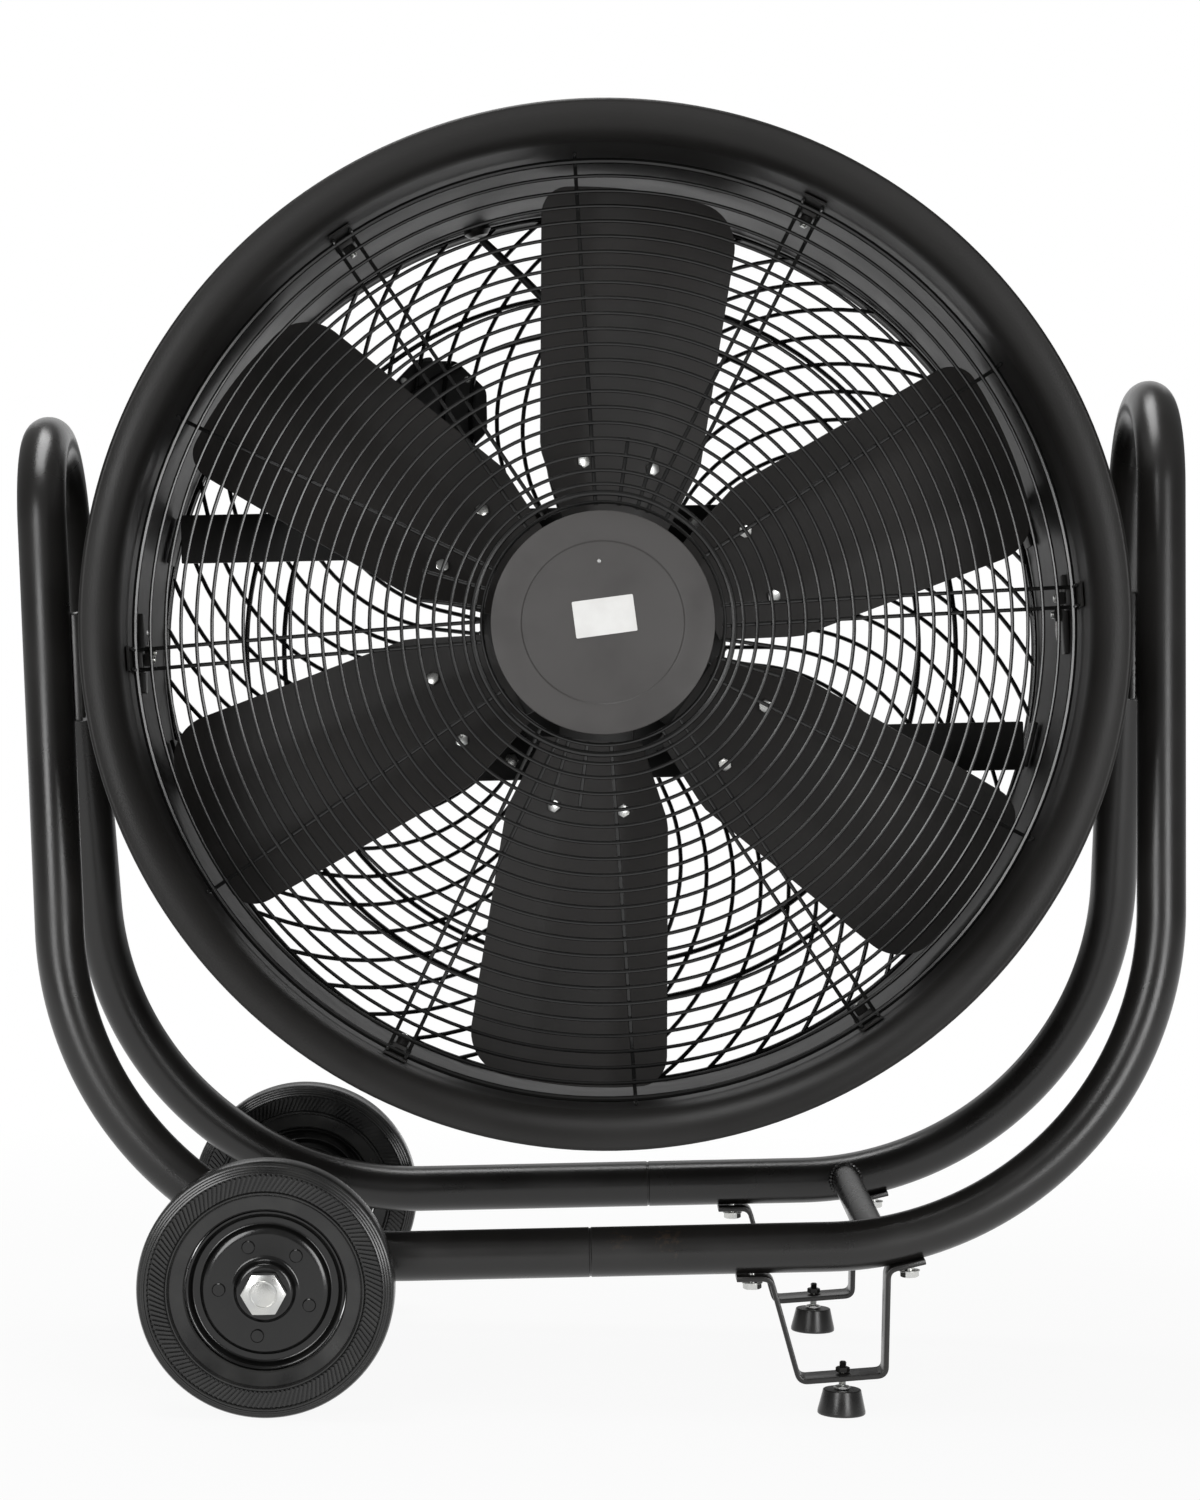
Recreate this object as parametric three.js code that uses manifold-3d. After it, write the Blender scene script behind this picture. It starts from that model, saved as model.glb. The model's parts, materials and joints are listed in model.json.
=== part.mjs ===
// Tilting drum fan on a tubular cradle with two wheels and two rubber feet.
// Millimetres, +Z up, the air leaves towards -Y. The part stands on Z = 0 with its box centred on X and Y.
import * as THREE from "three";
import { mergeVertices } from "three/addons/utils/BufferGeometryUtils.js";
import Module from "manifold-3d";

const wasm = await Module();
wasm.setup();

// ---- Driving dimensions -------------------------------------------------------------------------
const GAP = 0.35; // clearance between solids that touch

// Cradle: two bent tubes, butt-welded under the drum
const TUBE_R = 20;
const TUBE_SIDES = 12;
const TUBE_STEPS = 56;
const TRACK = 360; // front tube to rear tube at the floor, centre to centre
const TUBE_Z = 127; // centreline height of the straight bottom run
const STRAIGHT_HALF = 170;
const BEND_R = 278;
const LOOP_R = 85;
const LEG_SPLAY = 0.038; // legs lean outwards, radians
const LEG_RAKE = { left: 0.1599, right: 0.1568 }; // front and rear legs lean together, radians
const FRAME_LEAN = 0.0476; // the feet stand taller than the wheel mounting
const SEAM_FRONT_X = -23;
const SEAM_REAR_X = 32;
const CROSS_BAR_R = 12.5;
const CROSS_BAR_X = 208;

// Pivot
const PIVOT_Z = 619.6;
const PIVOT_PLATE = { thickness: 6, low: 560, high: 650, x: 432.8, halfWidth: 116 };
const PIVOT_STUD_R = 8;
const PIVOT_COLLAR_R = 16;
const TILT_KNOB_R = 28;
const TILT = 0.0676; // the drum looks up by this much as photographed

// Wheels and axle
const WHEEL_R = 101.6;
const WHEEL_WIDTH = 44;
const WHEEL_X = -279;
const WHEEL_Y = 242; // mid-plane of a wheel
const WHEEL_RIM_R = 63;
const AXLE_R = 10;
const BUSH_R = 13;
const AXLE_HEAD_ACROSS_CORNERS = 36;
const AXLE_Z = (WHEEL_R - Math.sin(FRAME_LEAN) * WHEEL_X) / Math.cos(FRAME_LEAN);

// Feet
const FOOT_X = 177;
const FOOT_TOP_R = 15.5;
const FOOT_BOTTOM_R = 19.3;
const FOOT_HEIGHT = 20;
const STRIP = { thickness: 4.2, width: 30, bend: 9 };
const STUD_R = 4;

// Drum
const LIP_R = 419;
const LIP_Y = -205;
const LIP_FLARE = 31;
const SHELL_R = 388; // inside
const SHELL_WALL = 2.6;
const REAR_Y = 205;
const SHELL_SEGMENTS = 48;

// Guards
const GUARD_R = 383;
const GUARD_RINGS = 12;
const GUARD_RING_PITCH = 26;
const GUARD_WIRE = 3.6;
const GUARD_CENTRE_Y = -199;
const GUARD_EDGE_Y = -120;
const GUARD_DOME = 1.5; // exponent of the dome
const REAR_GUARD_Y = 166;
const REAR_GUARD_DOME = 7;
const REAR_SPIRALS = 18;
const REAR_RING_R = [81, 282, 315, 383];
const CENTRE_PLATE_R = 89.3;
const CLIP_COUNT = 6;
const CLIP_ANGLE = 2.7;
const CLIP = { width: 20, strip: 385.3, top: 377, front: -152, rear: -84 };

// Rotor
const BLADE_COUNT = 6;
const BLADE_ANGLE = 24.1; // degrees from +X to the first blade
const BLADE_TIP_R = 380;
const BLADE_ROOT_R = 88;
const BLADE_ROOT_WIDTH = 88;
const BLADE_SHOULDER = { r: 152, width: 144 }; // the root tapers up to here
const BLADE_TIP_WIDTH = 181;
const BLADE_PITCH = 0.33;
const BLADE_CAMBER = 11;
const BLADE_THICKNESS = 2;
const HUB_R = 82;
const SHAFT_R = 8;

// Motor
const MOTOR_R = 107;
const MOTOR_FRONT_Y = 46;
const BAR_Y = 88;
const BAR_Z = 97;
const BAR_HEIGHT = 42;
const MOTOR_REAR_R = 70;
const MOTOR_REAR_Y = 140;
const LEAD_R = 4;

// Switch box on top of the drum, near its rear edge
const BOX_TURN = -0.27;
const BOX = { length: 96, depth: 70, height: 46, wall: 3, y: 148 };
const KNOB_R = 16;

// ---- Finishes -----------------------------------------------------------------------------------
function finish(color, roughness, metalness) {
  return () => new THREE.MeshStandardMaterial({ color, roughness, metalness });
}
const blackPaint = finish(0x1c1b1b, 0.45, 0.2);
const wirePaint = finish(0x151515, 0.4, 0.2);
const bladePaint = finish(0x2b2a2a, 0.5, 0.25);
const zinc = finish(0xc9ccce, 0.3, 1);
const rubber = finish(0x161616, 0.7, 0);
const plastic = finish(0x1a1a1a, 0.35, 0);
const greyPaint = finish(0x5a5856, 0.6, 0.1);
const paper = finish(0xf2f2f0, 0.7, 0);

// ---- Helpers ------------------------------------------------------------------------------------
/** One mesh with a name and its own material. */
function part(name, geometry, material) {
  const mesh = new THREE.Mesh(facingOut(geometry), material());
  mesh.name = name;
  return mesh;
}

/** The geometry with merged vertices and its faces turned outwards. */
function facingOut(geometry) {
  const bare = new THREE.BufferGeometry();
  bare.setAttribute("position", geometry.getAttribute("position").clone());
  if (geometry.index) bare.setIndex(geometry.index.clone());
  const merged = mergeVertices(bare, 1e-4);
  const p = merged.getAttribute("position");
  const index = merged.index.array;
  const [a, b, c] = [new THREE.Vector3(), new THREE.Vector3(), new THREE.Vector3()];
  let volume = 0;
  for (let i = 0; i < index.length; i += 3) {
    a.fromBufferAttribute(p, index[i]);
    b.fromBufferAttribute(p, index[i + 1]);
    c.fromBufferAttribute(p, index[i + 2]);
    volume += a.dot(b.cross(c));
  }
  if (volume < 0) {
    for (let i = 0; i < index.length; i += 3) {
      [index[i + 1], index[i + 2]] = [index[i + 2], index[i + 1]];
    }
  }
  return merged;
}

/** A closed geometry as a solid that can be joined and cut. */
function solid(geometry) {
  const g = facingOut(geometry);
  const vertProperties = g.getAttribute("position").array;
  const triVerts = new Uint32Array(g.index.array);
  return new wasm.Manifold(new wasm.Mesh({ numProp: 3, vertProperties, triVerts }));
}

/** A solid back as a geometry. */
function toGeometry(body) {
  const mesh = body.getMesh();
  const positions = new Float32Array(mesh.numVert * 3);
  for (let i = 0; i < mesh.numVert; i++) {
    positions.set(mesh.vertProperties.subarray(i * mesh.numProp, i * mesh.numProp + 3), i * 3);
  }
  const g = new THREE.BufferGeometry();
  g.setAttribute("position", new THREE.BufferAttribute(positions, 3));
  g.setIndex(new THREE.BufferAttribute(mesh.triVerts, 1));
  return g;
}

/** Several geometries joined to one. */
function join(...geometries) {
  return toGeometry(geometries.map(solid).reduce((a, b) => a.add(b)));
}

/** A geometry with tools cut out of it. */
function cut(geometry, ...tools) {
  return toGeometry(tools.map(solid).reduce((a, b) => a.subtract(b), solid(geometry)));
}

/** A closed outline of (radius, y) points turned about the Y axis. */
function turned(outline, segments) {
  const points = outline.map(([r, y]) => new THREE.Vector2(r, y));
  const closed = outline[0][0] > 0 ? [...points, points[0]] : points;
  return new THREE.LatheGeometry(closed, segments);
}

/** A round bar along Y from y0 to y1. */
function barY(radius, y0, y1, sides = 16) {
  return new THREE.CylinderGeometry(radius, radius, y1 - y0, sides).translate(0, (y0 + y1) / 2, 0);
}

/** A round bar along Z from z0 to z1. */
function barZ(radius, z0, z1, sides = 12, topRadius = radius) {
  const bar = new THREE.CylinderGeometry(topRadius, radius, z1 - z0, sides).rotateX(Math.PI / 2);
  return bar.translate(0, 0, (z0 + z1) / 2);
}

/** A round bar along X from x0 to x1. */
function barX(radius, x0, x1, sides = 16) {
  const bar = new THREE.CylinderGeometry(radius, radius, x1 - x0, sides).rotateZ(Math.PI / 2);
  return bar.translate((x0 + x1) / 2, 0, 0);
}

/** A round section swept along a curve. */
function tubeAlong(curve, radius, sides, steps) {
  const section = [];
  for (let i = 0; i < sides; i++) {
    const a = (2 * Math.PI * i) / sides;
    section.push(new THREE.Vector2(radius * Math.cos(a), radius * Math.sin(a)));
  }
  return new THREE.ExtrudeGeometry(new THREE.Shape(section), { steps, extrudePath: curve });
}

/** A flat outline in X and Z, extruded along Y about y = 0. */
function extrudedXZ(points, width) {
  const shape = new THREE.Shape(points.map(([x, z]) => new THREE.Vector2(x, z)));
  const g = new THREE.ExtrudeGeometry(shape, { depth: width, bevelEnabled: false });
  return g.rotateX(Math.PI / 2).translate(0, width / 2, 0);
}

/** An arc in space: centre + radius (cos a * first + sin a * second). */
class ArcInSpace extends THREE.Curve {
  constructor(centre, first, second, radius, from, to) {
    super();
    Object.assign(this, { centre, first, second, radius, from, to });
  }
  getPoint(t, target = new THREE.Vector3()) {
    const a = this.from + (this.to - this.from) * t;
    target.copy(this.centre);
    target.addScaledVector(this.first, this.radius * Math.cos(a));
    return target.addScaledVector(this.second, this.radius * Math.sin(a));
  }
}

/** A polyline whose corners are rounded, as [x, z] points. */
function rounded(corners, radius, steps = 4) {
  const out = [corners[0]];
  for (let i = 1; i < corners.length - 1; i++) {
    const before = new THREE.Vector2(...corners[i - 1]).sub(new THREE.Vector2(...corners[i])).normalize();
    const after = new THREE.Vector2(...corners[i + 1]).sub(new THREE.Vector2(...corners[i])).normalize();
    const half = Math.acos(THREE.MathUtils.clamp(before.dot(after), -1, 1)) / 2;
    const reach = radius / Math.tan(half);
    const start = new THREE.Vector2(...corners[i]).addScaledVector(before, reach);
    const end = new THREE.Vector2(...corners[i]).addScaledVector(after, reach);
    const bend = new THREE.QuadraticBezierCurve(start, new THREE.Vector2(...corners[i]), end);
    for (const p of bend.getPoints(steps)) out.push([p.x, p.y]);
  }
  out.push(corners.at(-1));
  return out;
}

/** The outline of a strip of even thickness along a polyline of [x, z] points. */
function stripOutline(line, thickness) {
  const sides = [[], []];
  line.forEach((p, i) => {
    const [x0, z0] = line[Math.max(i - 1, 0)];
    const [x1, z1] = line[Math.min(i + 1, line.length - 1)];
    const length = Math.hypot(x1 - x0, z1 - z0);
    const nx = (-(z1 - z0) / length) * (thickness / 2);
    const nz = ((x1 - x0) / length) * (thickness / 2);
    sides[0].push([p[0] + nx, p[1] + nz]);
    sides[1].unshift([p[0] - nx, p[1] - nz]);
  });
  return [...sides[0], ...sides[1]];
}

/**
 * A wire grille about the Y axis on a polar grid. Ring bands are solid all round, the bands between
 * them only where a spoke runs. depthAt(r) gives the y of the wires, twistAt(r) their turn.
 */
function grille({ rings, wire, spokes, firstSpoke, spokeWidth, fill, depthAt, twistAt, steps }) {
  const radii = [];
  const isRing = [];
  rings.forEach((r, i) => {
    if (i > 0) {
      const inner = rings[i - 1] + wire / 2;
      const outer = r - wire / 2;
      const count = steps ? steps[i - 1] : 1;
      for (let k = 1; k < count; k++) radii.push(inner + ((outer - inner) * k) / count);
      for (let k = 0; k < count; k++) isRing.push(false);
    }
    radii.push(r - wire / 2, r + wire / 2);
    isRing.push(true);
  });
  const angles = [];
  const isSpoke = [];
  const pitch = (2 * Math.PI) / spokes;
  for (let s = 0; s < spokes; s++) {
    const middle = firstSpoke + s * pitch;
    angles.push(middle - spokeWidth / 2);
    isSpoke.push(true);
    for (let k = 0; k < fill; k++) {
      angles.push(middle + spokeWidth / 2 + ((pitch - spokeWidth) * k) / fill);
      isSpoke.push(false);
    }
  }
  const n = angles.length;
  const positions = [];
  const index = [];
  for (const r of radii) {
    for (const a of angles) {
      const turn = a + twistAt(r);
      for (const side of [-1, 1]) {
        positions.push(r * Math.cos(turn), depthAt(r) + (side * wire) / 2, r * Math.sin(turn));
      }
    }
  }
  const id = (i, j, side) => (i * n + (j % n)) * 2 + side;
  const filled = (i, j) => i >= 0 && i < radii.length - 1 && (isRing[i] || isSpoke[(j + n) % n]);
  const quad = (a, b, c, d) => index.push(a, b, c, a, c, d);
  for (let i = 0; i < radii.length - 1; i++) {
    for (let j = 0; j < n; j++) {
      if (!filled(i, j)) continue;
      quad(id(i, j, 0), id(i + 1, j, 0), id(i + 1, j + 1, 0), id(i, j + 1, 0));
      quad(id(i, j, 1), id(i, j + 1, 1), id(i + 1, j + 1, 1), id(i + 1, j, 1));
      if (!filled(i - 1, j)) quad(id(i, j, 0), id(i, j + 1, 0), id(i, j + 1, 1), id(i, j, 1));
      if (!filled(i + 1, j)) quad(id(i + 1, j, 0), id(i + 1, j, 1), id(i + 1, j + 1, 1), id(i + 1, j + 1, 0));
      if (!filled(i, j - 1)) quad(id(i, j, 0), id(i, j, 1), id(i + 1, j, 1), id(i + 1, j, 0));
      if (!filled(i, j + 1)) quad(id(i, j + 1, 0), id(i + 1, j + 1, 0), id(i + 1, j + 1, 1), id(i, j + 1, 1));
    }
  }
  const g = new THREE.BufferGeometry();
  g.setAttribute("position", new THREE.Float32BufferAttribute(positions, 3));
  g.setIndex(index);
  return g;
}

// ---- Cradle -------------------------------------------------------------------------------------
/** The centreline of one cradle half: side is -1 on the left and 1 on the right. */
function cradleCurve(side) {
  const out = new THREE.Vector3(side, 0, 0);
  const path = new THREE.CurvePath();
  const bendEnd = Math.PI / 2 - LEG_SPLAY;
  const legRake = side < 0 ? LEG_RAKE.left : LEG_RAKE.right;
  const halves = [-1, 1].map((end) => {
    const up = new THREE.Vector3(0, -end * Math.sin(legRake), Math.cos(legRake));
    const seam = new THREE.Vector3(end < 0 ? SEAM_FRONT_X : SEAM_REAR_X, (end * TRACK) / 2, TUBE_Z);
    seam.x += (side * GAP) / 2;
    const start = new THREE.Vector3(side * STRAIGHT_HALF, (end * TRACK) / 2, TUBE_Z);
    const centre = start.clone().addScaledVector(up, BEND_R);
    const bend = new ArcInSpace(centre, out, up.clone().negate(), BEND_R, Math.PI / 2, Math.PI / 2 - bendEnd);
    const direction = up.clone().multiplyScalar(Math.cos(LEG_SPLAY));
    direction.addScaledVector(out, Math.sin(LEG_SPLAY));
    return { seam, start, bend, top: bend.getPoint(1), direction };
  });
  const [front, rear] = halves;
  const rake = Math.asin(Math.cos(LEG_SPLAY) * Math.sin(legRake));
  const legLength = (-LOOP_R * Math.cos(rake) - front.top.y) / front.direction.y;
  const legEnd = front.top.clone().addScaledVector(front.direction, legLength);
  const upInLoop = front.direction.clone().setY(0).normalize();
  const loopCentre = legEnd.clone().setY(0).addScaledVector(upInLoop, -LOOP_R * Math.sin(rake));
  const towardsFront = new THREE.Vector3(0, -1, 0);
  const loop = new ArcInSpace(loopCentre, towardsFront, upInLoop, LOOP_R, rake, Math.PI - rake);
  path.add(new THREE.LineCurve3(front.seam, front.start));
  path.add(front.bend);
  path.add(new THREE.LineCurve3(front.top, legEnd));
  path.add(loop);
  path.add(new THREE.LineCurve3(loop.getPoint(1), rear.top));
  path.add(new ArcInSpace(rear.bend.centre, out, rear.bend.second, BEND_R, rear.bend.to, rear.bend.from));
  path.add(new THREE.LineCurve3(rear.start, rear.seam));
  return path;
}

/** One cradle half as a bar, thicker by extra where it is used as a tool. */
function cradleTube(side, extra = 0) {
  return tubeAlong(cradleCurve(side), TUBE_R + extra, TUBE_SIDES, TUBE_STEPS);
}

const FOOT_BOLTS = [
  { x: 107, z: 100.6 },
  { x: 234, z: 107.4 },
];

/** Left half of the cradle. */
function makeCradleLeft() {
  return part("cradle_left", cradleTube(-1), blackPaint);
}

/** Right half of the cradle, drilled from below for the four bracket bolts. */
function makeCradleRight() {
  const holes = [];
  for (const end of [-1, 1]) {
    for (const { x, z } of FOOT_BOLTS) {
      holes.push(barZ(STUD_R + GAP, z, z + 24, 8).translate(x, (end * TRACK) / 2, 0));
    }
  }
  return part("cradle_right", cut(cradleTube(1), ...holes), blackPaint);
}

/** Bar that ties the front and rear tubes, coped to both. */
function makeCrossBar() {
  const bar = barY(CROSS_BAR_R, -TRACK / 2, TRACK / 2, 14).translate(CROSS_BAR_X, 0, TUBE_Z + 2.6);
  return part("cross_bar", cut(bar, cradleTube(1, GAP)), blackPaint);
}

/** Plate between the front and rear leg that carries the drum's pivot stud. */
function makePivotPlate(side) {
  const { thickness, low, high, x, halfWidth } = PIVOT_PLATE;
  const middle = (low + high) / 2;
  const outline = [
    [-halfWidth, -(high - low) / 2],
    [halfWidth, -(high - low) / 2],
    [halfWidth - 14, (high - low) / 2],
    [-halfWidth + 14, (high - low) / 2],
  ];
  const shape = new THREE.Shape(outline.map((p) => new THREE.Vector2(...p)));
  const hole = new THREE.Path();
  hole.absarc(0, PIVOT_Z - middle, PIVOT_STUD_R + 0.6, 0, 2 * Math.PI, true);
  shape.holes.push(hole);
  const settings = { depth: thickness, bevelEnabled: false, curveSegments: 12 };
  const plate = new THREE.ExtrudeGeometry(shape, settings);
  plate.translate(0, 0, -thickness / 2).rotateX(Math.PI / 2).rotateZ(Math.PI / 2);
  plate.rotateY(side * LEG_SPLAY).translate(side * x, 0, middle);
  const name = side < 0 ? "pivot_plate_left" : "pivot_plate_right";
  return part(name, cut(plate, cradleTube(side, GAP)), blackPaint);
}

/** Sleeve and web that hold the axle under a tube. */
function makeAxleBracket(end) {
  const sleeve = barY(17, -26, 26, 16);
  const web = new THREE.BoxGeometry(26, 30, 30).translate(0, 0, 17);
  const bore = barY(AXLE_R + GAP, -40, 40, 14);
  const bracket = cut(join(sleeve, web), bore).translate(WHEEL_X, (end * TRACK) / 2, AXLE_Z);
  const name = end < 0 ? "axle_bracket_front" : "axle_bracket_rear";
  return part(name, cut(bracket, cradleTube(-1, GAP)), blackPaint);
}

/** Bolt that serves as the axle of both wheels, with its hexagon head at the front. */
function makeAxle() {
  const face = WHEEL_Y + WHEEL_WIDTH / 2;
  const head = barY(AXLE_HEAD_ACROSS_CORNERS / 2, -face - 13.5, -face - 1, 6).rotateY(Math.PI / 6);
  const shank = barY(AXLE_R, -face - 4, face + 20, 14);
  return part("axle", join(head, shank).translate(WHEEL_X, 0, AXLE_Z), zinc);
}

/** Nut at the rear end of the axle. */
function makeAxleNut() {
  const hexagon = barY(AXLE_HEAD_ACROSS_CORNERS / 2, 0, 15, 6).rotateY(Math.PI / 6);
  const nut = cut(hexagon, barY(AXLE_R + GAP, -2, 20, 14));
  return part("axle_nut", nut.translate(WHEEL_X, WHEEL_Y + WHEEL_WIDTH / 2 + 1.4, AXLE_Z), zinc);
}

/** Bent steel strip under the tube that carries a foot. */
function makeFootBracket(end) {
  const corners = [
    [94, 104.4],
    [121.5, 104.4],
    [143, 20.4],
    [212.5, 24.2],
    [216, 109],
    [246, 115.4],
  ];
  const strip = extrudedXZ(stripOutline(rounded(corners, STRIP.bend), STRIP.thickness), STRIP.width);
  const holes = FOOT_BOLTS.map(({ x, z }) => barZ(STUD_R + GAP, z - 10, z + 24, 8).translate(x, 0, 0));
  const studHole = barZ(STUD_R + GAP, 0, 60, 8).rotateY(FRAME_LEAN);
  holes.push(studHole.translate(FOOT_X, 0, -FOOT_X * Math.tan(FRAME_LEAN)));
  const bracket = cut(strip, ...holes).translate(0, (end * TRACK) / 2, 0);
  const name = end < 0 ? "foot_bracket_front" : "foot_bracket_rear";
  return part(name, cut(bracket, cradleTube(1, GAP)), blackPaint);
}

/** Hexagon bolt that fastens a bracket flange to the tube from below. */
function makeFootBolt(name, end, { x, z }) {
  const bolt = join(barZ(7.5, z - 6, z - 0.2, 6), barZ(STUD_R, z - 2, z + 22, 8));
  return part(name, bolt.translate(x, (end * TRACK) / 2, 0), zinc);
}

/** Rubber foot and its stud, upright on the floor. */
function makeFoot(end) {
  const where = end < 0 ? "front" : "rear";
  const foot = new THREE.Group();
  foot.position.set(FOOT_X, (end * TRACK) / 2, -FOOT_X * Math.tan(FRAME_LEAN));
  foot.rotation.y = FRAME_LEAN;
  const cone = barZ(FOOT_BOTTOM_R, 0, FOOT_HEIGHT, 20, FOOT_TOP_R);
  const bore = barZ(STUD_R + GAP, 8, FOOT_HEIGHT + 5, 8);
  foot.add(part("rubber_foot_" + where, cut(cone, bore), rubber));
  const lowNut = barZ(7.5, FOOT_HEIGHT + 0.4, FOOT_HEIGHT + 3.4, 6);
  const stud = join(barZ(STUD_R, 9, 44, 8), barZ(7.5, 33.9, 39.5, 6), lowNut);
  foot.add(part("foot_stud_" + where, stud, zinc));
  return foot;
}

// ---- Wheels -------------------------------------------------------------------------------------
/** One wheel: rubber tyre, moulded disc and bush, turning on the axle. */
function makeWheel(end) {
  const where = end < 0 ? "front" : "rear";
  const half = WHEEL_WIDTH / 2;
  const tyre = turned(
    [
      [WHEEL_RIM_R, -half + 7],
      [76, -half + 1.5],
      [80, -half],
      [93, -half + 1],
      [99.5, -half + 5],
      [WHEEL_R, -half + 11],
      [WHEEL_R, half - 11],
      [99.5, half - 5],
      [93, half - 1],
      [80, half],
      [76, half - 1.5],
      [WHEEL_RIM_R, half - 7],
    ],
    24,
  );
  const disc = turned(
    [
      [BUSH_R + GAP, -half],
      [21, -half],
      [24, -half + 6],
      [47, -half + 8],
      [50, -half + 15],
      [56, -half + 15],
      [WHEEL_RIM_R - GAP, -half + 8],
      [WHEEL_RIM_R - GAP, half - 8],
      [56, half - 15],
      [50, half - 15],
      [47, half - 8],
      [24, half - 6],
      [21, half],
      [BUSH_R + GAP, half],
    ],
    24,
  );
  const bush = turned(
    [
      [AXLE_R + GAP, -half - 0.6],
      [BUSH_R, -half - 0.6],
      [BUSH_R, half + 0.6],
      [AXLE_R + GAP, half + 0.6],
    ],
    16,
  );
  const wheel = new THREE.Group();
  wheel.position.set(WHEEL_X, end * WHEEL_Y, AXLE_Z);
  wheel.add(part("tyre_" + where, tyre, rubber));
  wheel.add(part("wheel_disc_" + where, disc, plastic));
  wheel.add(part("wheel_bush_" + where, bush, plastic));
  return wheel;
}

// ---- Drum ---------------------------------------------------------------------------------------
/** The drum's wall: a flared, hemmed front lip, a straight barrel and a turned-in rear edge. */
function makeDrumShell() {
  const inside = [];
  const outside = [];
  const flareCentreR = SHELL_R + LIP_FLARE;
  const flareCentreY = LIP_Y + LIP_FLARE;
  for (const degrees of [0, 22, 45, 67, 90]) {
    const a = THREE.MathUtils.degToRad(degrees);
    inside.unshift([flareCentreR - LIP_FLARE * Math.cos(a), flareCentreY - LIP_FLARE * Math.sin(a)]);
    const r = LIP_FLARE - SHELL_WALL;
    outside.push([flareCentreR - r * Math.cos(a), flareCentreY - r * Math.sin(a)]);
  }
  outside.unshift([SHELL_R + SHELL_WALL, REAR_Y]);
  inside.push([SHELL_R, REAR_Y - 9], [SHELL_R - 4, REAR_Y]);
  const hem = [
    [LIP_R + 2.6, LIP_Y + 1.6],
    [LIP_R + 2.6, LIP_Y + 8],
    [LIP_R - 1, LIP_Y + 8],
  ];
  const hemAtLip = hem.map(([r, y]) => [r - 2.6, y]);
  const outer = outside.slice(0, -1);
  const profile = [...inside, ...outer, ...hemAtLip.reverse()];
  const wall = turned(profile, SHELL_SEGMENTS);
  const studs = [barX(PIVOT_STUD_R + 0.6, 370, 400, 10), barX(PIVOT_STUD_R + 0.6, -400, -370, 10)];
  const grommet = barZ(9, 360, 410, 10).rotateY(BOX_TURN).translate(0, BOX.y, 0);
  return part("drum_shell", cut(wall, ...studs, grommet), blackPaint);
}

const guardDepth = (r) => GUARD_CENTRE_Y + (GUARD_EDGE_Y - GUARD_CENTRE_Y) * (r / GUARD_R) ** GUARD_DOME;

/** Domed front grille of concentric wires and spokes. */
function makeFrontGuard() {
  const rings = [];
  for (let k = GUARD_RINGS - 1; k >= 0; k--) rings.push(GUARD_R - k * GUARD_RING_PITCH);
  const geometry = grille({
    rings,
    wire: GUARD_WIRE,
    spokes: 6,
    firstSpoke: THREE.MathUtils.degToRad(CLIP_ANGLE),
    spokeWidth: 0.045,
    fill: 4,
    depthAt: guardDepth,
    twistAt: () => 0,
  });
  return part("front_guard", geometry, wirePaint);
}

/** Rear grille of spiral wires and rings. */
function makeRearGuard() {
  const swirlStart = 150;
  const swirl = (r) => -0.62 * Math.max(0, (r - swirlStart) / (GUARD_R - swirlStart)) ** 1.6;
  const geometry = grille({
    rings: REAR_RING_R,
    wire: GUARD_WIRE,
    spokes: REAR_SPIRALS,
    firstSpoke: 0.1,
    spokeWidth: 0.02,
    fill: 1,
    depthAt: (r) => REAR_GUARD_Y + REAR_GUARD_DOME * (1 - (r / GUARD_R) ** 2),
    twistAt: (r) => -swirl(r),
    steps: [4, 1, 2],
  });
  return part("rear_guard", geometry, wirePaint);
}

/** Sheet disc in the middle of the front guard, with one pressed step. */
function makeCentrePlate() {
  const face = GUARD_CENTRE_Y - 5;
  const plate = turned(
    [
      [0, face],
      [64, face],
      [66, face + 1.4],
      [CENTRE_PLATE_R, face + 1.4],
      [CENTRE_PLATE_R, face + 2.9],
      [0, face + 2.9],
    ],
    36,
  );
  return part("centre_plate", plate, greyPaint);
}

/** Blank label on the centre plate. */
function makeLabelPlate() {
  const label = new THREE.BoxGeometry(49, 0.6, 29.5).rotateY(-0.113);
  return part("label_plate", label.translate(1.5, GUARD_CENTRE_Y - 5 - GAP - 0.3, 5), paper);
}

/** Clip that holds the front guard to the drum's wall: a strip on the wall, a block and its bolt. */
function makeGuardClip(k) {
  const { width, strip, top, front, rear } = CLIP;
  const blockFront = GUARD_EDGE_Y + 2.6;
  const blockRear = blockFront + 18;
  const outline = [
    [top, blockFront],
    [strip, blockFront],
    [strip, front],
    [SHELL_R - 1.3, front],
    [SHELL_R - 1.3, rear],
    [strip, rear],
    [strip, blockRear],
    [top, blockRear],
  ];
  const shape = new THREE.Shape(outline.map(([r, y]) => new THREE.Vector2(r, y)));
  const block = new THREE.ExtrudeGeometry(shape, { depth: width, bevelEnabled: false });
  const bolt = barX(5.8, top - 9, top + 1, 6).translate(0, (blockFront + blockRear) / 2, 0);
  const clip = join(block.translate(0, 0, -width / 2), bolt);
  const angle = THREE.MathUtils.degToRad(CLIP_ANGLE + (360 / CLIP_COUNT) * k);
  return part("guard_clip_" + (k + 1), clip.rotateY(-angle), blackPaint);
}

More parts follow.
